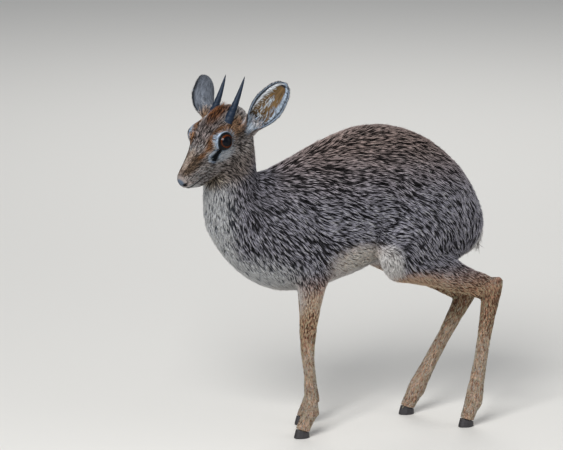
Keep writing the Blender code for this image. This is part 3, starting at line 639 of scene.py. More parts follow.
def linear(code):
    """Linear colour of an sRGB hex value."""
    value = np.array([int(code[i:i + 2], 16) for i in (1, 3, 5)]) / 255.0
    return np.where(value <= 0.04045, value / 12.92, ((value + 0.055) / 1.055) ** 2.4)


def lid_place(points, side):
    """Points in the axes of an eye's opening, and how far out of the almond they lie."""
    q = (points - eye_middle[side]) @ lid_axes[side].T
    return q, np.hypot(q[:, 0] / 0.0110, q[:, 1] / 0.0103)


def mouth_gap(local):
    """Distance from the line of the closed mouth, from under the nose to its corner."""
    past = np.maximum(MOUTH[0][0] - local[:, 0], 0)
    return np.hypot(local[:, 2] - np.interp(local[:, 0], *MOUTH), past)


def folded(points):
    """Points with the right side folded onto the left one."""
    return np.abs(points) * [0, 1, 0] + points * [1, 0, 1]


def markings(points):
    """Pale and dark hair colours at points of the hide."""
    both = [np.tile(linear(code), (len(points), 1)) for code in FUR["grizzle"]]

    def paint(name, share):
        for k in (0, 1):
            both[k] += (linear(FUR[name][k]) - both[k]) * share[:, None]

    def egg(q, at, sizes, soft):
        return 1 - ramp(egg_reach(q * 1000, at, sizes), 1 - soft, 1 + soft)

    sides = folded(points - BODY_AT)
    x, y, z = sides.T
    paint("saddle", egg(sides, *SADDLE))
    paint("ochre", (1 - ramp(z, 0.188, 0.236)) * ramp(np.abs(x - 0.115), 0.0, 0.02))
    paint("shank", (1 - ramp(z, 0.10, 0.16)) * 0.6)
    for name, at, sizes, soft in BODY_AREAS:
        paint(name, egg(sides, at, sizes, soft))
    local = in_head(points)
    sides = folded(local)
    for name, at, sizes, soft in HEAD_AREAS:
        paint(name, egg(sides, at, sizes, soft))
    lips = mouth_gap(local)
    paint("white", (1 - ramp(lips, 0.0024, 0.0040)) * ramp(local[:, 0], 0.048, 0.060) * 0.5)
    paint("slate", 1 - ramp(lips, 0.0011, 0.0020))

    # The black streak of the gland runs from the corner of the eye, set off by the pale
    # ring, and the orange stripe runs before the ring
    start, end = np.array([0.0130, 0.0262, 0.0042]), np.array([0.0262, 0.0213, -0.0045])
    way = end - start
    along = np.clip((sides - start) @ way / (way @ way), 0, 1)
    gap = np.linalg.norm(sides - start - along[:, None] * way, axis=1)
    streak = 0.0033 + 0.0026 * along ** 2
    above = ramp(local[:, 2] + 0.45 * local[:, 0], -0.002, 0.004)
    for side, sign in SIDES.items():
        q, r = lid_place(points, side)
        near = (q[:, 2] > 0.002) & (local[:, 1] * sign > 0.008)
        front = np.clip(q[:, 0] / 0.012, -1, 1)
        high = np.clip(q[:, 1] / 0.010, -1, 1)
        here = local[:, 1] * sign > 0.004
        paint("ring", here * (1 - ramp(gap - streak - 0.0012 * along, 0.0008, 0.0024)) * above)
        reach = 1.23 + 0.20 * np.maximum(front, 0) * (1 - 0.7 * np.maximum(high, 0))
        outside = near * ramp(r, reach + 0.1, reach + 0.25) * (1 - ramp(r, reach + 1.0, reach + 1.4))
        paint("stripe", outside * ramp(high, -0.5, 0.1) * ramp(front, -0.8, -0.2))
        paint("ring", near * (1 - ramp(r, reach - 0.05, reach + 0.14)))
        paint("slate", near * (1 - ramp(r, 1.14, 1.24)))
        paint("slate", here * (1 - ramp(gap / streak, 0.85, 1.12)))
    return both


def search_tree(points):
    """A tree that finds the nearest of points."""
    tree = KDTree(len(points))
    for k, p in enumerate(points):
        tree.insert(p, k)
    tree.balance()
    return tree


ear_trees = {}
for side in EARS:
    t, a = ear_grid(0, 60, 40)
    here, inward, _, _ = ear_point(side, t, a)
    ear_trees[side] = (search_tree(here), here, inward, t, a)

# Which edge of each ear is the front one: 1 or -1
EAR_FRONT = {}
for side in EARS:
    edges = in_head(ear_point(side, np.array([0.5, 0.5]), np.array([1.0, -1.0]))[0])
    EAR_FRONT[side] = 1 if edges[0, 0] > edges[1, 0] else -1


def ear_place(points):
    """How far up the ear, how far to its front edge, and 1 if inside it; all -1 off the ears."""
    out = np.full((len(points), 3), -1.0)
    for side, (tree, here, inward, t, a) in ear_trees.items():
        close = np.nonzero(np.linalg.norm(points - here.mean(0), axis=1) < 0.055)[0]
        for i in close:
            _, k, gap = tree.find(points[i])
            if gap < 0.0024 and t[k] > 0.13:
                inner = (points[i] - here[k]) @ inward[k] > 0
                out[i] = (t[k], a[k] * EAR_FRONT[side], float(inner))
    return out


def ear_colours(place):
    """Pale and dark colours on an ear: grizzled outside, bare inside a dark band, edged grey."""
    t, a, inner = place.T
    edge = np.maximum(np.abs(a), ramp(t, 0.70, 1.0))
    margin = inner * ramp(edge, 0.90, 0.96)
    band = np.where(inner > 0.5, 1 - ramp(edge, 0.88, 0.95), ramp(edge, 0.86, 0.95)) * 0.9
    hollow = inner * (1 - ramp(edge, 0.66, 0.76)) * ramp(t, 0.16, 0.36)
    both = [np.tile(linear(code), (len(t), 1)) for code in FUR["ear"]]
    for k in (0, 1):
        for name, share in (("ear_margin", margin), ("ear_rim", band), ("ear_skin", hollow)):
            both[k] += (linear(FUR[name][k]) - both[k]) * share[:, None]
    return both


skin_points, skin_normals, skin_faces = arrays(skin.data)
skin_ears = ear_place(skin_points)
is_ear = skin_ears[:, 0] >= 0
_, length, _, _ = coat_at(skin_points)
pale, dark = markings(skin_points)
pale[is_ear], dark[is_ear] = ear_colours(skin_ears[is_ear])
# Off the ears the hide is painted darker than its hair, most of all under long hair: painted shade of the
# coat lying over it
under = np.where(is_ear, 0.9, 0.74 - 0.44 * ramp(length, 0.0045, 0.008))
hide = (dark + (pale - dark) * 0.42) * under[:, None]


def give(ob, name, values, kind="FLOAT_COLOR", field="color"):
    """Stores one value per point of a mesh under a name that its material reads."""
    layer = ob.data.attributes.new(name, kind, "POINT")
    if field == "color":
        values = np.insert(values, 3, 1, axis=1)
    layer.data.foreach_set(field, values.astype(np.float32).ravel())


# The nap is the place on the hide drawn out along its hair, where the streaks are looked up
local = in_head(skin_points)
flat = skin_points - BODY_AT
on_face = 1 - ramp(egg_reach(local, [0.01, 0, 0], [0.085, 0.05, 0.055]), 0.85, 1.1)
on_leg = 1 - ramp(flat[:, 2], 0.17, 0.23)
nap = flat * [0.16, 1, 1]
nap += (flat * [1, 1, 0.16] - nap) * on_leg[:, None]
nap += (local * [0.18, 1, 1] - nap) * on_face[:, None]
nap[is_ear] = (skin_ears * [0.16 * EAR_LENGTH, 0.018, 0.01])[is_ear]
bare = 1 - ramp(egg_reach(folded(local), [0.0795, 0, -0.0128], [0.0075, 0.0095, 0.010]), 0.95, 1.1)
for side in eye_middle:
    q, r = lid_place(skin_points, side)
    bare = np.maximum(bare, (q[:, 2] > 0.002) * (1 - ramp(r, 1.08, 1.18)))
give(skin, "coat_colour", hide)
give(skin, "nap", nap, "FLOAT_VECTOR", "vector")
give(skin, "bare", bare, "FLOAT", "value")
skin.data.shade_smooth()
bpy.context.view_layer.objects.active = skin
skin.select_set(True)
bpy.ops.object.mode_set(mode="EDIT")
bpy.ops.mesh.select_all(action="SELECT")
bpy.ops.uv.smart_project(angle_limit=math.radians(66), island_margin=0.002)
bpy.ops.object.mode_set(mode="OBJECT")
skin.select_set(False)
skin.data.uv_layers[0].name = "OFBake"


def new_material(name):
    """A material with no nodes yet, and its tree."""
    mat = bpy.data.materials.new(name)
    mat.use_nodes = True
    mat.node_tree.nodes.clear()
    return mat, mat.node_tree


def add(tree, kind, inputs=(), out=0, **settings):
    """Adds a node and gives back one of its outputs; each input is a value or an output."""
    node = tree.nodes.new("ShaderNode" + kind)
    for key, value in settings.items():
        setattr(node, key, value)
    for key, value in dict(inputs).items():
        if isinstance(value, bpy.types.NodeSocket):
            tree.links.new(value, node.inputs[key])
        else:
            node.inputs[key].default_value = value
    return node.outputs[out]


def close(tree, inputs):
    """Ends a material in one principled shader."""
    shader = add(tree, "BsdfPrincipled", inputs)
    tree.links.new(shader, tree.nodes.new("ShaderNodeOutputMaterial").inputs["Surface"])


def mixed(tree, share, low, high):
    """A colour between two, each a hex value or an output."""
    ends = [(*linear(end), 1) if isinstance(end, str) else end for end in (low, high)]
    return add(tree, "Mix", {"Factor": share, 6: ends[0], 7: ends[1]}, 2, data_type="RGBA")


# Sleek hide: short hair combed flat. Fine streaks along the hair make it dull and uneven;
# the nose pad and the lid edges are bare, pebbled and moist.
hide_mat, tree = new_material("short_combed_hide")
colour = add(tree, "Attribute", out="Color", attribute_name="coat_colour")
combed = add(tree, "Attribute", out="Vector", attribute_name="nap")
naked = add(tree, "Attribute", out="Fac", attribute_name="bare")
streak = add(tree, "TexNoise", {"Vector": combed, "Scale": 1 / 0.0019, "Detail": 3.0, "Roughness": 0.65})
level = add(tree, "MapRange", {"Value": streak, "From Min": 0.32, "From Max": 0.68,
                               "To Min": 0.4, "To Max": 1.6})
calm = add(tree, "Mix", {"Factor": naked, "A": level, "B": 1.0}, data_type="FLOAT")
tint = add(tree, "VectorMath", {0: colour, "Scale": calm}, operation="SCALE")
rough = add(tree, "MapRange", {"Value": naked, "To Min": 0.72, "To Max": 0.36})
pebble = add(tree, "TexVoronoi", {"Vector": add(tree, "TexCoord", out="Object"), "Scale": 1 / 0.0011})
height = add(tree, "Mix", {"Factor": naked, "A": streak, "B": pebble}, data_type="FLOAT")
bump = add(tree, "Bump", {"Height": height, "Strength": 0.55, "Distance": 0.0006})
close(tree, {"Base Color": tint, "Roughness": rough, "Normal": bump, "Specular IOR Level": 0.12})
skin.data.materials.clear()
skin.data.materials.append(hide_mat)
skin.data.polygons.foreach_set("material_index", np.zeros(len(skin.data.polygons), np.int32))
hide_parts(*FLESH, "ear_left", "ear_right")
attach(skin, "root")


# Coat. Banded hair rooted in the skin, each tuft a closed three-sided spike. It lies along
# the body, long and coarse on trunk and neck, short on face and legs, and neighbours are
# drawn together into locks.
TUFT_BEND = 0.5
skin_tree = BVHTree.FromPolygons(skin_points.tolist(), skin_faces.tolist())
loop_uv = read(skin.data.uv_layers["OFBake"].data, "uv", 2)
tri_loops = read(skin.data.loop_triangles, "loops", 3, np.int32)


def lay(points, normals, heights, reach=0.005):
    """Points set down at heights over the skin beneath them."""
    out = points + normals * heights[:, None]
    for i, p in enumerate(points):
        at, _, index, _ = skin_tree.find_nearest(p, reach)
        if at is not None:
            out[i] = np.array(at) + unit(skin_normals[skin_faces[index]].mean(0)) * heights[i]
    return out


def blend(shares, corners):
    """Places inside triangles, from the shares of their three corners."""
    return np.einsum("ij,ijk->ik", shares, corners)


def flattened(v, normal):
    """Vectors without their share along a normal."""
    return v - normal * (v * normal).sum(1)[:, None]


def nearest_uv(points):
    """Places on the skin's unwrap nearest to points."""
    out = np.empty((len(points), 2))
    for i, p in enumerate(points):
        _, _, index, _ = skin_tree.find_nearest(p)
        out[i] = loop_uv[tri_loops[index]].mean(0)
    return out


def tufts(name, root, mid, tip, up, breadth, colours, uv, material, thick=0.55):
    """One coat piece from tuft roots, bends and tips. Without bends each tuft is four-faced."""
    n = len(root)
    along = unit(tip - root)
    across = unit(np.cross(up, along))
    up = np.cross(along, across)
    corners = ((-0.5, -0.5 * thick), (0.5, -0.5 * thick), (0.0, 0.5 * thick))

    def ring(centre, scale):
        b = (breadth * scale)[:, None]
        return [centre + across * b * s + up * b * h for s, h in corners]

    if mid is None:
        rows = ring(root, np.ones(n)) + [tip]
        pattern = [(0, 2, 1), (0, 1, 3), (1, 2, 3), (2, 0, 3)]
        tones = [0, 0, 0, 2]
        drift = [(-1, -1), (1, -1), (0, -1), (0, 1)]
    else:
        rows = ring(root, np.full(n, 0.75)) + ring(mid, np.ones(n)) + [tip]
        pattern = [(0, 2, 1), (3, 4, 6), (4, 5, 6), (5, 3, 6)]
        for k in range(3):
            j = (k + 1) % 3
            pattern += [(k, j, 3 + j), (k, 3 + j, 3 + k)]
        tones = [0, 0, 0, 1, 1, 1, 2]
        drift = [(-1, -1), (1, -1), (0, -1), (-1, 0), (1, 0), (0, 0), (0, 1)]
    step = len(rows)
    points = np.stack(rows, 1).reshape(-1, 3)
    faces = (np.array(pattern)[None] + (np.arange(n) * step)[:, None, None]).reshape(-1, 3)
    ob = from_arrays(name, points, faces)
    give(ob, "coat_colour", np.stack([colours[t] for t in tones], 1).reshape(-1, 3))
    places = (uv[:, None, :] + np.array(drift)[None] * 0.0015).reshape(-1, 2)
    layer = ob.data.uv_layers.new(name="OFBake")
    layer.data.foreach_set("uv", np.clip(places[faces.ravel()], 0, 1).astype(np.float32).ravel())
    ob.data.materials.append(material)
    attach(ob, "root")


# Guard hair: coarse and nearly matt, so that its dark and pale show and not a shine
hair_mat, tree = new_material("banded_guard_hair")
colour = add(tree, "Attribute", out="Color", attribute_name="coat_colour")
close(tree, {"Base Color": colour, "Roughness": 0.58, "Specular IOR Level": 0.12})

# No hair grows on the lids, nose pad, nostrils and lips, nor under the coronets
corner = skin_points[skin_faces]
centre = corner.mean(1)
out = np.cross(corner[:, 1] - corner[:, 0], corner[:, 2] - corner[:, 0])
area = np.linalg.norm(out, axis=1) / 2
tri_ear = is_ear[skin_faces].all(1)
_, tri_length, _, tri_width = coat_at(centre)
local = in_head(centre)
flat = centre - BODY_AT
tri_bare = bare[skin_faces].max(1) > 0.3
for side in eye_middle:
    q, r = lid_place(centre, side)
    tri_bare |= (q[:, 2] > 0.002) & (r < 1.24) & (np.linalg.norm(q, axis=1) < 0.02)
tri_bare |= egg_reach(folded(local), [0.0750, 0.0072, -0.0162], [0.0075, 0.0045, 0.0036]) < 1
tri_bare |= (mouth_gap(local) < 0.0012) & (local[:, 0] > 0.048)
tri_bare |= (flat[:, 2] < 0.0125) & (unit(out)[:, 2] < -0.3)
tri_bare |= flat[:, 2] < 0.0088

# The coat's pieces: six of the trunk, then neck, legs and head
face_zone = egg_reach(local, 0, [0.095, 0.052, 0.056]) < 1
x, y, z = flat.T
leg_of = np.where(x < 0.095, 0, 2) + (y > 0)
in_leg = (x > -0.012) & (x < 0.060) & (z < 0.196) | (x > 0.135) & (z < 0.215)
zone = np.where(y < 0, 0, 1) + np.where(x < 0.035, 0, np.where(x < 0.135, 2, 4))
neck_zone = (x < -0.048) & ~face_zone
label = np.where(face_zone, 20, np.where(in_leg, 10 + leg_of, np.where(neck_zone, 6, zone)))
PIECES = {
    0: ("coat_shoulder_left", "coat"), 1: ("coat_shoulder_right", "coat"), 2: ("coat_flank_left", "coat"),
    3: ("coat_flank_right", "coat"), 4: ("coat_haunch_left", "coat"), 5: ("coat_haunch_right", "coat"),
    6: ("coat_neck", "throat"), 10: ("coat_foreleg_left", "leg"), 11: ("coat_foreleg_right", "leg"),
    12: ("coat_hindleg_left", "leg"), 13: ("coat_hindleg_right", "leg"), 20: ("coat_head", "face"),
}

# Where tufts are rooted: as many on each triangle as its area, and their size, call for
chance = np.random.default_rng(7)
long_hair = tri_length > 0.0056
cover = np.where(long_hair, np.where(tri_length > 0.009, 4.0, 3.4), 2.2)
density = cover / (tri_length * tri_width * 0.5)
amount = np.where(tri_bare | tri_ear, 0, area * density)
counts = np.floor(amount + chance.random(len(amount))).astype(int)
tris = np.repeat(np.arange(len(counts)), counts)
n = len(tris)
a, b = np.sqrt(chance.random(n)), chance.random(n)
shares = np.stack([1 - a, a * (1 - b), a * b], 1)
root = blend(shares, corner[tris])
up = unit(blend(shares, skin_normals[skin_faces[tris]]))
way, length, depth, breadth = coat_at(root)
uv = blend(shares, loop_uv[tri_loops[tris]])
flow = unit(flattened(way, up))
side_way = np.cross(up, flow)
swirl = 0.12 * np.sin(root @ [83, 41, 59]) + 0.09 * np.sin(root @ [-47, 90, 131] + 1.0)
swirl += chance.normal(0, 0.08, n)
flow = flow * np.cos(swirl)[:, None] + side_way * np.sin(swirl)[:, None]
length = length * chance.uniform(0.7, 1.2, n)
is_long = long_hair[tris]
breadth = breadth * chance.uniform(0.7, 1.3, n) * np.where(is_long, 0.68, 0.9)
lift = chance.uniform(0.45, 1.0, n)

# Round the eyes the hair points away from the lids
for side in eye_middle:
    q, r = lid_place(root, side)
    away = unit(q * [1, 1, 0]) @ lid_axes[side]
    near = (q[:, 2] > 0.002) * (1 - ramp(r, 1.5, 2.1)) * 0.9
    flow = flow + (away - flow) * near[:, None]
flow = unit(flattened(flow, up))

# Neighbouring tufts are drawn together into locks, dark and pale by turns: the pale ones
# are banded hairs, the dark ones dark hairs between them, painted near black as the shade
# in the gaps between locks. One tuft leads in each cell of a grid, and the others follow
# the leader that lies nearest across the hair.
CELLS = 2000
grain = np.clip(tri_length[tris] * 0.20, 0.0016, np.where(face_zone[tris], 0.0020, 0.0023))
cells = np.floor(root / grain[:, None]).astype(int) + 900
turn = cells.sum(1) % 2
cells = cells @ [CELLS ** 2, CELLS, 1]
_, leaders = np.unique(cells, return_index=True)
lock_tree = search_tree(root[leaders])
near = np.array([[k for _, k, _ in lock_tree.find_n(p, 8)] for p in root])
gap = root[leaders[near]] - root[:, None]
along = np.einsum("ijk,ik->ij", gap, flow)
across = np.linalg.norm(gap - along[..., None] * flow[:, None], axis=2)
lock = near[np.arange(n), (across ** 2 + (along / 2.4) ** 2).argmin(1)]
pale, dark = markings(root)
LUMINANCE = (0.2126, 0.7152, 0.0722)
share = ramp(dark[leaders] @ LUMINANCE, 0.02, 0.12)
share = np.where(turn[leaders] == 0, 0.03 + 0.67 * share, 0.64 + 0.28 * share)
m = len(leaders)
pale_lock = chance.random(m) < share
lock_value = np.where(pale_lock, chance.normal(0.92, 0.20, m), chance.normal(0.08, 0.06, m))
lock_lift = np.where(pale_lock, chance.uniform(0.70, 1.0, m), chance.uniform(0.45, 0.85, m))
is_pale = pale_lock[lock]
offset = flattened(root - root[leaders[lock]], flow)
pull = np.where(is_pale, chance.uniform(0.55, 0.85, n), chance.uniform(0.1, 0.5, n))
pull = pull * np.where(is_long, 1.0, 0.8)
tip = root + flow * length[:, None] - offset * pull[:, None]
mid = root + flow * (length * TUFT_BEND)[:, None] - offset * (pull * 0.6)[:, None]
lift = np.where(is_long, lock_lift[lock] * (0.85 + 0.15 * lift), lift)
stray = is_long & (chance.random(n) < 0.03)
tip = lay(tip, up, depth * np.where(stray, 1.3, lift))
mid = lay(mid, up, depth * np.where(is_long, 0.62 * lift + 0.05, 0.5))
root = root - up * 0.0003

# Colours: dark at the root, darker than the dark hair itself as painted shade deep in the
# coat, then the lock's own tone, and paler still at a pale lock's tip
value = np.clip(lock_value[lock] + chance.normal(0, 0.07, n), -0.05, 1.2)[:, None]
tone = np.clip(dark + (pale - dark) * value, 0.003, 0.9)
shaded_root_tone = dark * np.where(is_long, 0.3, 0.6)[:, None]
mid_tone = dark + (tone - dark) * 0.5
tip_tone = np.clip(tone * np.where(is_pale, chance.uniform(1.4, 1.9, n), 1.0)[:, None], 0, 0.95)
bent = is_long & is_pale
for code, (name, slot) in PIECES.items():
    here = label[tris] == code
    for with_bend, suffix in ((True, ""), (False, "_straight")):
        pick = here & (bent == with_bend)
        if pick.any():
            tones = (shaded_root_tone[pick], mid_tone[pick], tip_tone[pick])
            tufts(name + suffix, root[pick], mid[pick] if with_bend else None, tip[pick], up[pick],
                  breadth[pick], tones, uv[pick], hair_mat)


# Hair of the ears: short and grizzled outside, a grey margin, and rows of long white hairs
# that fan over the hollow from its front edge and its folds
def ear_tufts(side, t, a, inside, lean, length, height, breadth, colours, spread, value):
    """Tufts from places on one ear. lean is (toward the tip, toward the front edge)."""
    n = len(t)
    pale, dark = colours
    a = a * EAR_FRONT[side]
    here, inward, to_tip, to_side = ear_point(side, t, a)
    to_front = to_side * EAR_FRONT[side]
    face = inward if inside else -inward
    turn = chance.normal(0, spread, n)
    lean = unit(np.asarray(lean, float) * np.ones((n, 2)))
    lean = np.stack([lean[:, 0] * np.cos(turn) - lean[:, 1] * np.sin(turn),
                     lean[:, 0] * np.sin(turn) + lean[:, 1] * np.cos(turn)], 1)
    flow = unit(to_tip * lean[:, :1] + to_front * lean[:, 1:])
    length = length * chance.uniform(0.7, 1.2, n)
    root = here + face * 0.0006
    mid = root + flow * (length * 0.5)[:, None] + face * (height * 0.75)
    tip = root + flow * length[:, None] + face * (height * chance.uniform(0.7, 1.1, n))[:, None]
    value = np.clip(chance.normal(value, 0.32, n), 0, 1.2)[:, None]
    tone = dark + (pale - dark) * value
    return root, mid, tip, face, breadth * chance.uniform(0.7, 1.2, n), tone


# The rows of long hairs: middle and spread across the ear, start and end along it, number of
# hairs, their lean, the longest of them, and their pale and dark colours
LINING = (
    (0.82, 0.04, 0.06, 0.97, 640, (0.45, -1.0), 0.0110, ("#f2f5f9", "#8a929b")),
    (0.62, 0.08, 0.10, 0.86, 130, (0.35, -1.0), 0.0070, ("#cfd2d2", "#5c564c")),
    (-0.80, 0.06, 0.08, 0.92, 400, (0.75, 1.0), 0.0085, ("#bccbdb", "#4f5c6b")),
    (-0.02, 0.09, 0.18, 0.64, 80, (1.0, 0.25), 0.0100, ("#d3dde6", "#66727e")),
    (-0.42, 0.07, 0.12, 0.52, 60, (1.0, 0.4), 0.0085, ("#b9c8d8", "#556270")),
    (0.25, 0.45, 0.00, 0.14, 160, (1.0, -0.1), 0.0120, ("#c0cedd", "#4b5765")),
)
for side in EARS:
    fur, lining = [], []
    count = 12000
    t, a = chance.uniform(0.08, 0.98, count), chance.uniform(-1, 1, count)
    keep = chance.random(count) < ear_rows(t)[0] / 0.021
    t, a = t[keep], a[keep]
    colours = ear_colours(np.stack([t, a, 0 * t], 1))
    lean = np.stack([np.ones(len(t)), 0.5 * a], 1)
    fur.append(ear_tufts(side, t, a, False, lean, 0.0040, 0.0005, 0.0006, colours, 0.12, 0.45))
    count = count // 3
    t, a = chance.uniform(0.05, 0.95, count), chance.uniform(0.74, 1.0, count) * chance.choice([-1, 1], count)
    top = chance.random(count) < 0.25
    t[top], a[top] = chance.uniform(0.86, 0.96, top.sum()), chance.uniform(-1, 1, top.sum())
    colours = ear_colours(np.stack([t, a, np.ones(count)], 1))
    lean = np.stack([np.ones(count), 0.7 * a], 1)
    fur.append(ear_tufts(side, t, a, True, lean, 0.0034, 0.0004, 0.0006, colours, 0.2, 0.6))
    for middle, spread, low, high, amount, way, longest, tones in LINING:
        t = chance.uniform(low, high, amount)
        a = np.clip(chance.normal(middle, spread, amount), -0.99, 0.99)
        swell = 0.6 + 0.4 * np.sin(math.pi * np.clip((t - low) / (high - low), 0, 1))
        colours = [np.tile(linear(code), (amount, 1)) for code in tones]
        lining.append(ear_tufts(side, t, a, True, way, longest * swell, 0.0014, 0.00052, colours, 0.12, 0.70))
    for prefix, parts in (("ear_fur_", fur), ("ear_lining_", lining)):
        root, mid, tip, face, wide, tone = (np.concatenate([p[k] for p in parts]) for k in range(6))
        tufts(prefix + side, root - face * 0.0004, mid if parts is lining else None, tip, face, wide,
              (tone * 0.75, tone, np.clip(tone * 1.1, 0, 0.95)), nearest_uv(root), hair_mat)


# Eyes. Large and dark, set to the sides and held by the lids: a fibrous brown iris, darker
# at its edge, round a wide level black pupil, under the bulge of a wet clear cornea.
eye_mat, tree = new_material("wet_cornea_over_iris")
place = add(tree, "TexCoord", out="Object")
flat_way = add(tree, "VectorMath", {0: place, 1: (1, 1, 0)}, operation="MULTIPLY")
radius = add(tree, "VectorMath", {0: flat_way}, "Value", operation="LENGTH")
oval = add(tree, "VectorMath", {0: flat_way, 1: (1 / 0.0078, 1 / 0.0067, 0)}, operation="MULTIPLY")
pupil = add(tree, "VectorMath", {0: oval}, "Value", operation="LENGTH")
spokes = add(tree, "VectorMath", {0: flat_way}, operation="NORMALIZE")
fibre = add(tree, "TexNoise", {"Vector": spokes, "Scale": 14.0, "Detail": 3.0})
iris = add(tree, "MapRange", {"Value": fibre, "From Min": 0.3, "From Max": 0.7})
edge = add(tree, "MapRange", {"Value": radius, "From Min": 0.0082, "From Max": 0.0094})
hole = add(tree, "MapRange", {"Value": pupil, "From Min": 0.93, "From Max": 1.12})
brown = mixed(tree, iris, "#1d0c06", "#6c3414")
whole = mixed(tree, hole, "#070a10", mixed(tree, edge, brown, "#120c0b"))
close(tree, {"Base Color": whole, "Roughness": 0.5, "Specular IOR Level": 0.0,
             "Coat Weight": 0.35, "Coat IOR": 1.376, "Coat Roughness": 0.02})
for side, sign in SIDES.items():
    ball = bmesh.new()
    bmesh.ops.create_uvsphere(ball, u_segments=72, v_segments=48, radius=EYE_RADIUS)
    for v in ball.verts:
        spread = math.hypot(v.co.x, v.co.y)
        v.co.z += 0.0007 * max(0.0, 1 - (spread / 0.0078) ** 2) ** 1.5 * (v.co.z > 0)
    eye = from_bmesh("eyeball_" + side, ball)
    eye.data.shade_smooth()
    fore, rise, out = lid_axes[side]
    turn = Matrix([fore * sign, rise, out]).transposed()
    eye.matrix_world = Matrix.Translation(eye_middle[side]) @ turn.to_4x4()
    eye.data.materials.append(eye_mat)
    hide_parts("eye_" + side)
    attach(eye, "root")


# Horns. Straight slender spikes of keratin on bony cores, ringed and rough over the lower
# half, smooth above, leaning back. Their roots sit in the hide of the brow.


def keratin(name, low, high, scale, detail, stretch, strength, depth, inputs):
    """A horny material: two tones in a stretched grain that stands out a little."""
    mat, tree = new_material(name)
    place = add(tree, "TexCoord", out="Object")
    axes = add(tree, "VectorMath", {0: place, 1: stretch}, operation="MULTIPLY")
    grain = add(tree, "TexNoise", {"Vector": axes, "Scale": scale, "Detail": detail})
    bump = add(tree, "Bump", {"Height": grain, "Strength": strength, "Distance": depth})
    close(tree, {"Base Color": mixed(tree, grain, low, high), "Normal": bump, **inputs})
    return mat


# Horn keratin: slate black and faintly mottled, with a soft worn gleam
horn_mat = keratin("slate_horn_keratin", "#0a121c", "#203045", 1 / 0.004, 4.0, (1, 1, 1),
                   0.3, 0.0004, {"Roughness": 0.5, "Specular IOR Level": 0.25})

# Root and tip of each horn in the head's own axes
HORNS = {
    "left": ((-0.0253, 0.0157, 0.0232), (-0.0730, 0.0170, 0.0573)),
    "right": ((-0.0262, -0.0136, 0.0228), (-0.0708, -0.0150, 0.0540)),
}
HORN_RADIUS = 0.0055
for side, (low, high) in HORNS.items():
    low, high = on_head(*low), on_head(*high)
    along = unit(high - low)
    start = low - along * 0.008
    bow = unit(upward - along * (upward @ along))
    wide = unit(np.cross(bow, along))
    rows = []
    steps, turns = 150, 40
    for i in range(steps + 1):
        t = i / steps
        spine = start + (high - start) * t - bow * (0.0020 * math.sin(math.pi * t))
        radius = HORN_RADIUS * (1 - t) ** 0.8 + 0.0006 * (1 - t ** 12) + 0.0010 * (1 - t) ** 4
        angle = np.arange(turns) / turns * 2 * math.pi
        rings = 0.075 * max(0.0, 1 - abs(t - 0.26) / 0.30) ** 0.6
        wave = np.cos(t * 58 + 0.5 * np.cos(angle)) - 0.35 * np.cos(t * 116)
        grain = 0.012 * np.cos(angle * 9 + 3 * t) + 0.008 * np.cos(angle * 14 - 5 * t)
        r = radius * (1 + rings * wave + grain * (1 - t))
        rows.append(spine + np.outer(np.cos(angle) * r * 0.94, wide) + np.outer(np.sin(angle) * r, bow))
    points = np.concatenate(rows + [[start - along * 0.0005], [high + along * 0.0002]])
    grid = np.arange((steps + 1) * turns).reshape(-1, turns)
    nxt = np.roll(grid, -1, axis=1)
    quads = np.stack([grid[:-1], nxt[:-1], nxt[1:], grid[1:]], -1).reshape(-1, 4)
    caps = [np.stack([nxt[0], grid[0], np.full(turns, grid.size)], -1),
            np.stack([grid[-1], nxt[-1], np.full(turns, grid.size + 1)], -1)]
    faces = np.concatenate([quads[:, [0, 1, 2]], quads[:, [0, 2, 3]], *caps])
    horn = from_arrays("horn_sheath_" + side, points, faces)
    turn_out(horn)
    horn.data.materials.append(horn_mat)
    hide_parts("horn_" + side)
    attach(horn, "root")


# Hooves. Two narrow black toes of horn on each foot, flat on the floor. The solids show as
# they are, with worn edges; the material is dull and dusty, with fine rings of growth.
hoof_mat = keratin("dusty_hoof_horn", "#16151a", "#3d3a3c", 1 / 0.0012, 3.0, (0.15, 0.15, 1.0),
                   0.35, 0.0003, {"Roughness": 0.5})
for name in nodes:
    if name.startswith("hoof"):
        toe = nodes[name]
        toe.data.materials.clear()
        toe.data.materials.append(hoof_mat)
        weld = toe.modifiers.new("weld", "WELD")
        weld.merge_threshold = WELD
        edge = toe.modifiers.new("edge", "BEVEL")
        edge.width = 0.0007
        edge.segments = 2
        edge.angle_limit = math.radians(40)


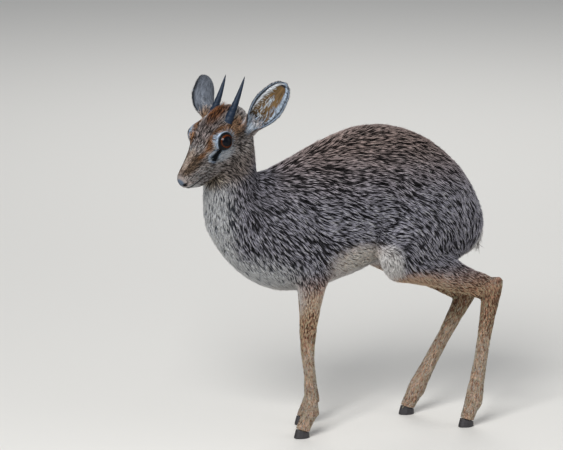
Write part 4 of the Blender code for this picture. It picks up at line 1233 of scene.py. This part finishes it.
# Studio. A pale floor, three soft lights and the long-lens camera of a watcher some paces
# away, seen from the animal's left and from above.
bpy.ops.mesh.primitive_plane_add(size=60)
floor = bpy.context.object
floor.name = "studio_floor"
floor_mat, tree = new_material("pale_matt_floor")
close(tree, {"Base Color": (*linear("#dcdad5"), 1), "Roughness": 0.9, "Specular IOR Level": 0.1})
floor.data.materials.append(floor_mat)
world = bpy.data.worlds.new("studio")
world.use_nodes = True
sky = world.node_tree.nodes["Background"].inputs
sky["Color"].default_value = (*linear("#dfe3ea"), 1)
sky["Strength"].default_value = 0.39
bpy.context.scene.world = world
LIGHTS = (
    ("key", (-1.3, -1.9, 2.1), 1.2, 86),
    ("fill", (1.9, -1.2, 1.2), 2.0, 9),
    ("back", (0.8, 2.0, 1.8), 1.5, 24),
)
for name, spot, size, power in LIGHTS:
    lamp = bpy.data.lights.new(name, "AREA")
    lamp.energy, lamp.size = power, size
    holder = placed(name, lamp)
    holder.location = spot
    holder.rotation_euler = (Vector((0, 0, 0.25)) - Vector(spot)).to_track_quat("-Z", "Y").to_euler()

# The camera's turn and rise, its distance in metres, the picture's size and scale, and the
# pixel on which the floor point under the body falls
VIEW_TURN, VIEW_RISE = math.radians(-18), math.radians(13)
SCALE, DISTANCE = 750.0, 9.0
WIDE, HIGH = 563, 450
FLOOR_PIXEL = (289, 432.4)
back = np.array([math.sin(VIEW_TURN), -math.cos(VIEW_TURN), 0.0]) * math.cos(VIEW_RISE)
back[2] = math.sin(VIEW_RISE)
right = np.array([math.cos(VIEW_TURN), math.sin(VIEW_TURN), 0.0])
top = np.cross(back, right)
aim = np.array([0.08, 0, 0.2])
spot = aim + BODY_AT + back * DISTANCE
spot = spot + right * (WIDE / 2 - FLOOR_PIXEL[0] - SCALE * (aim @ right)) / SCALE
spot = spot - top * (HIGH / 2 - FLOOR_PIXEL[1] + SCALE * (aim @ top)) / SCALE
camera = placed("camera", bpy.data.cameras.new("camera"))
camera.data.sensor_fit = "HORIZONTAL"
camera.data.sensor_width = 36
camera.data.lens = SCALE * DISTANCE / WIDE * 36
camera.data.clip_end = 100
camera.matrix_world = Matrix.Translation(spot) @ Matrix([right, top, back]).transposed().to_4x4()
bpy.context.scene.camera = camera
bpy.context.scene.view_settings.view_transform = "Standard"
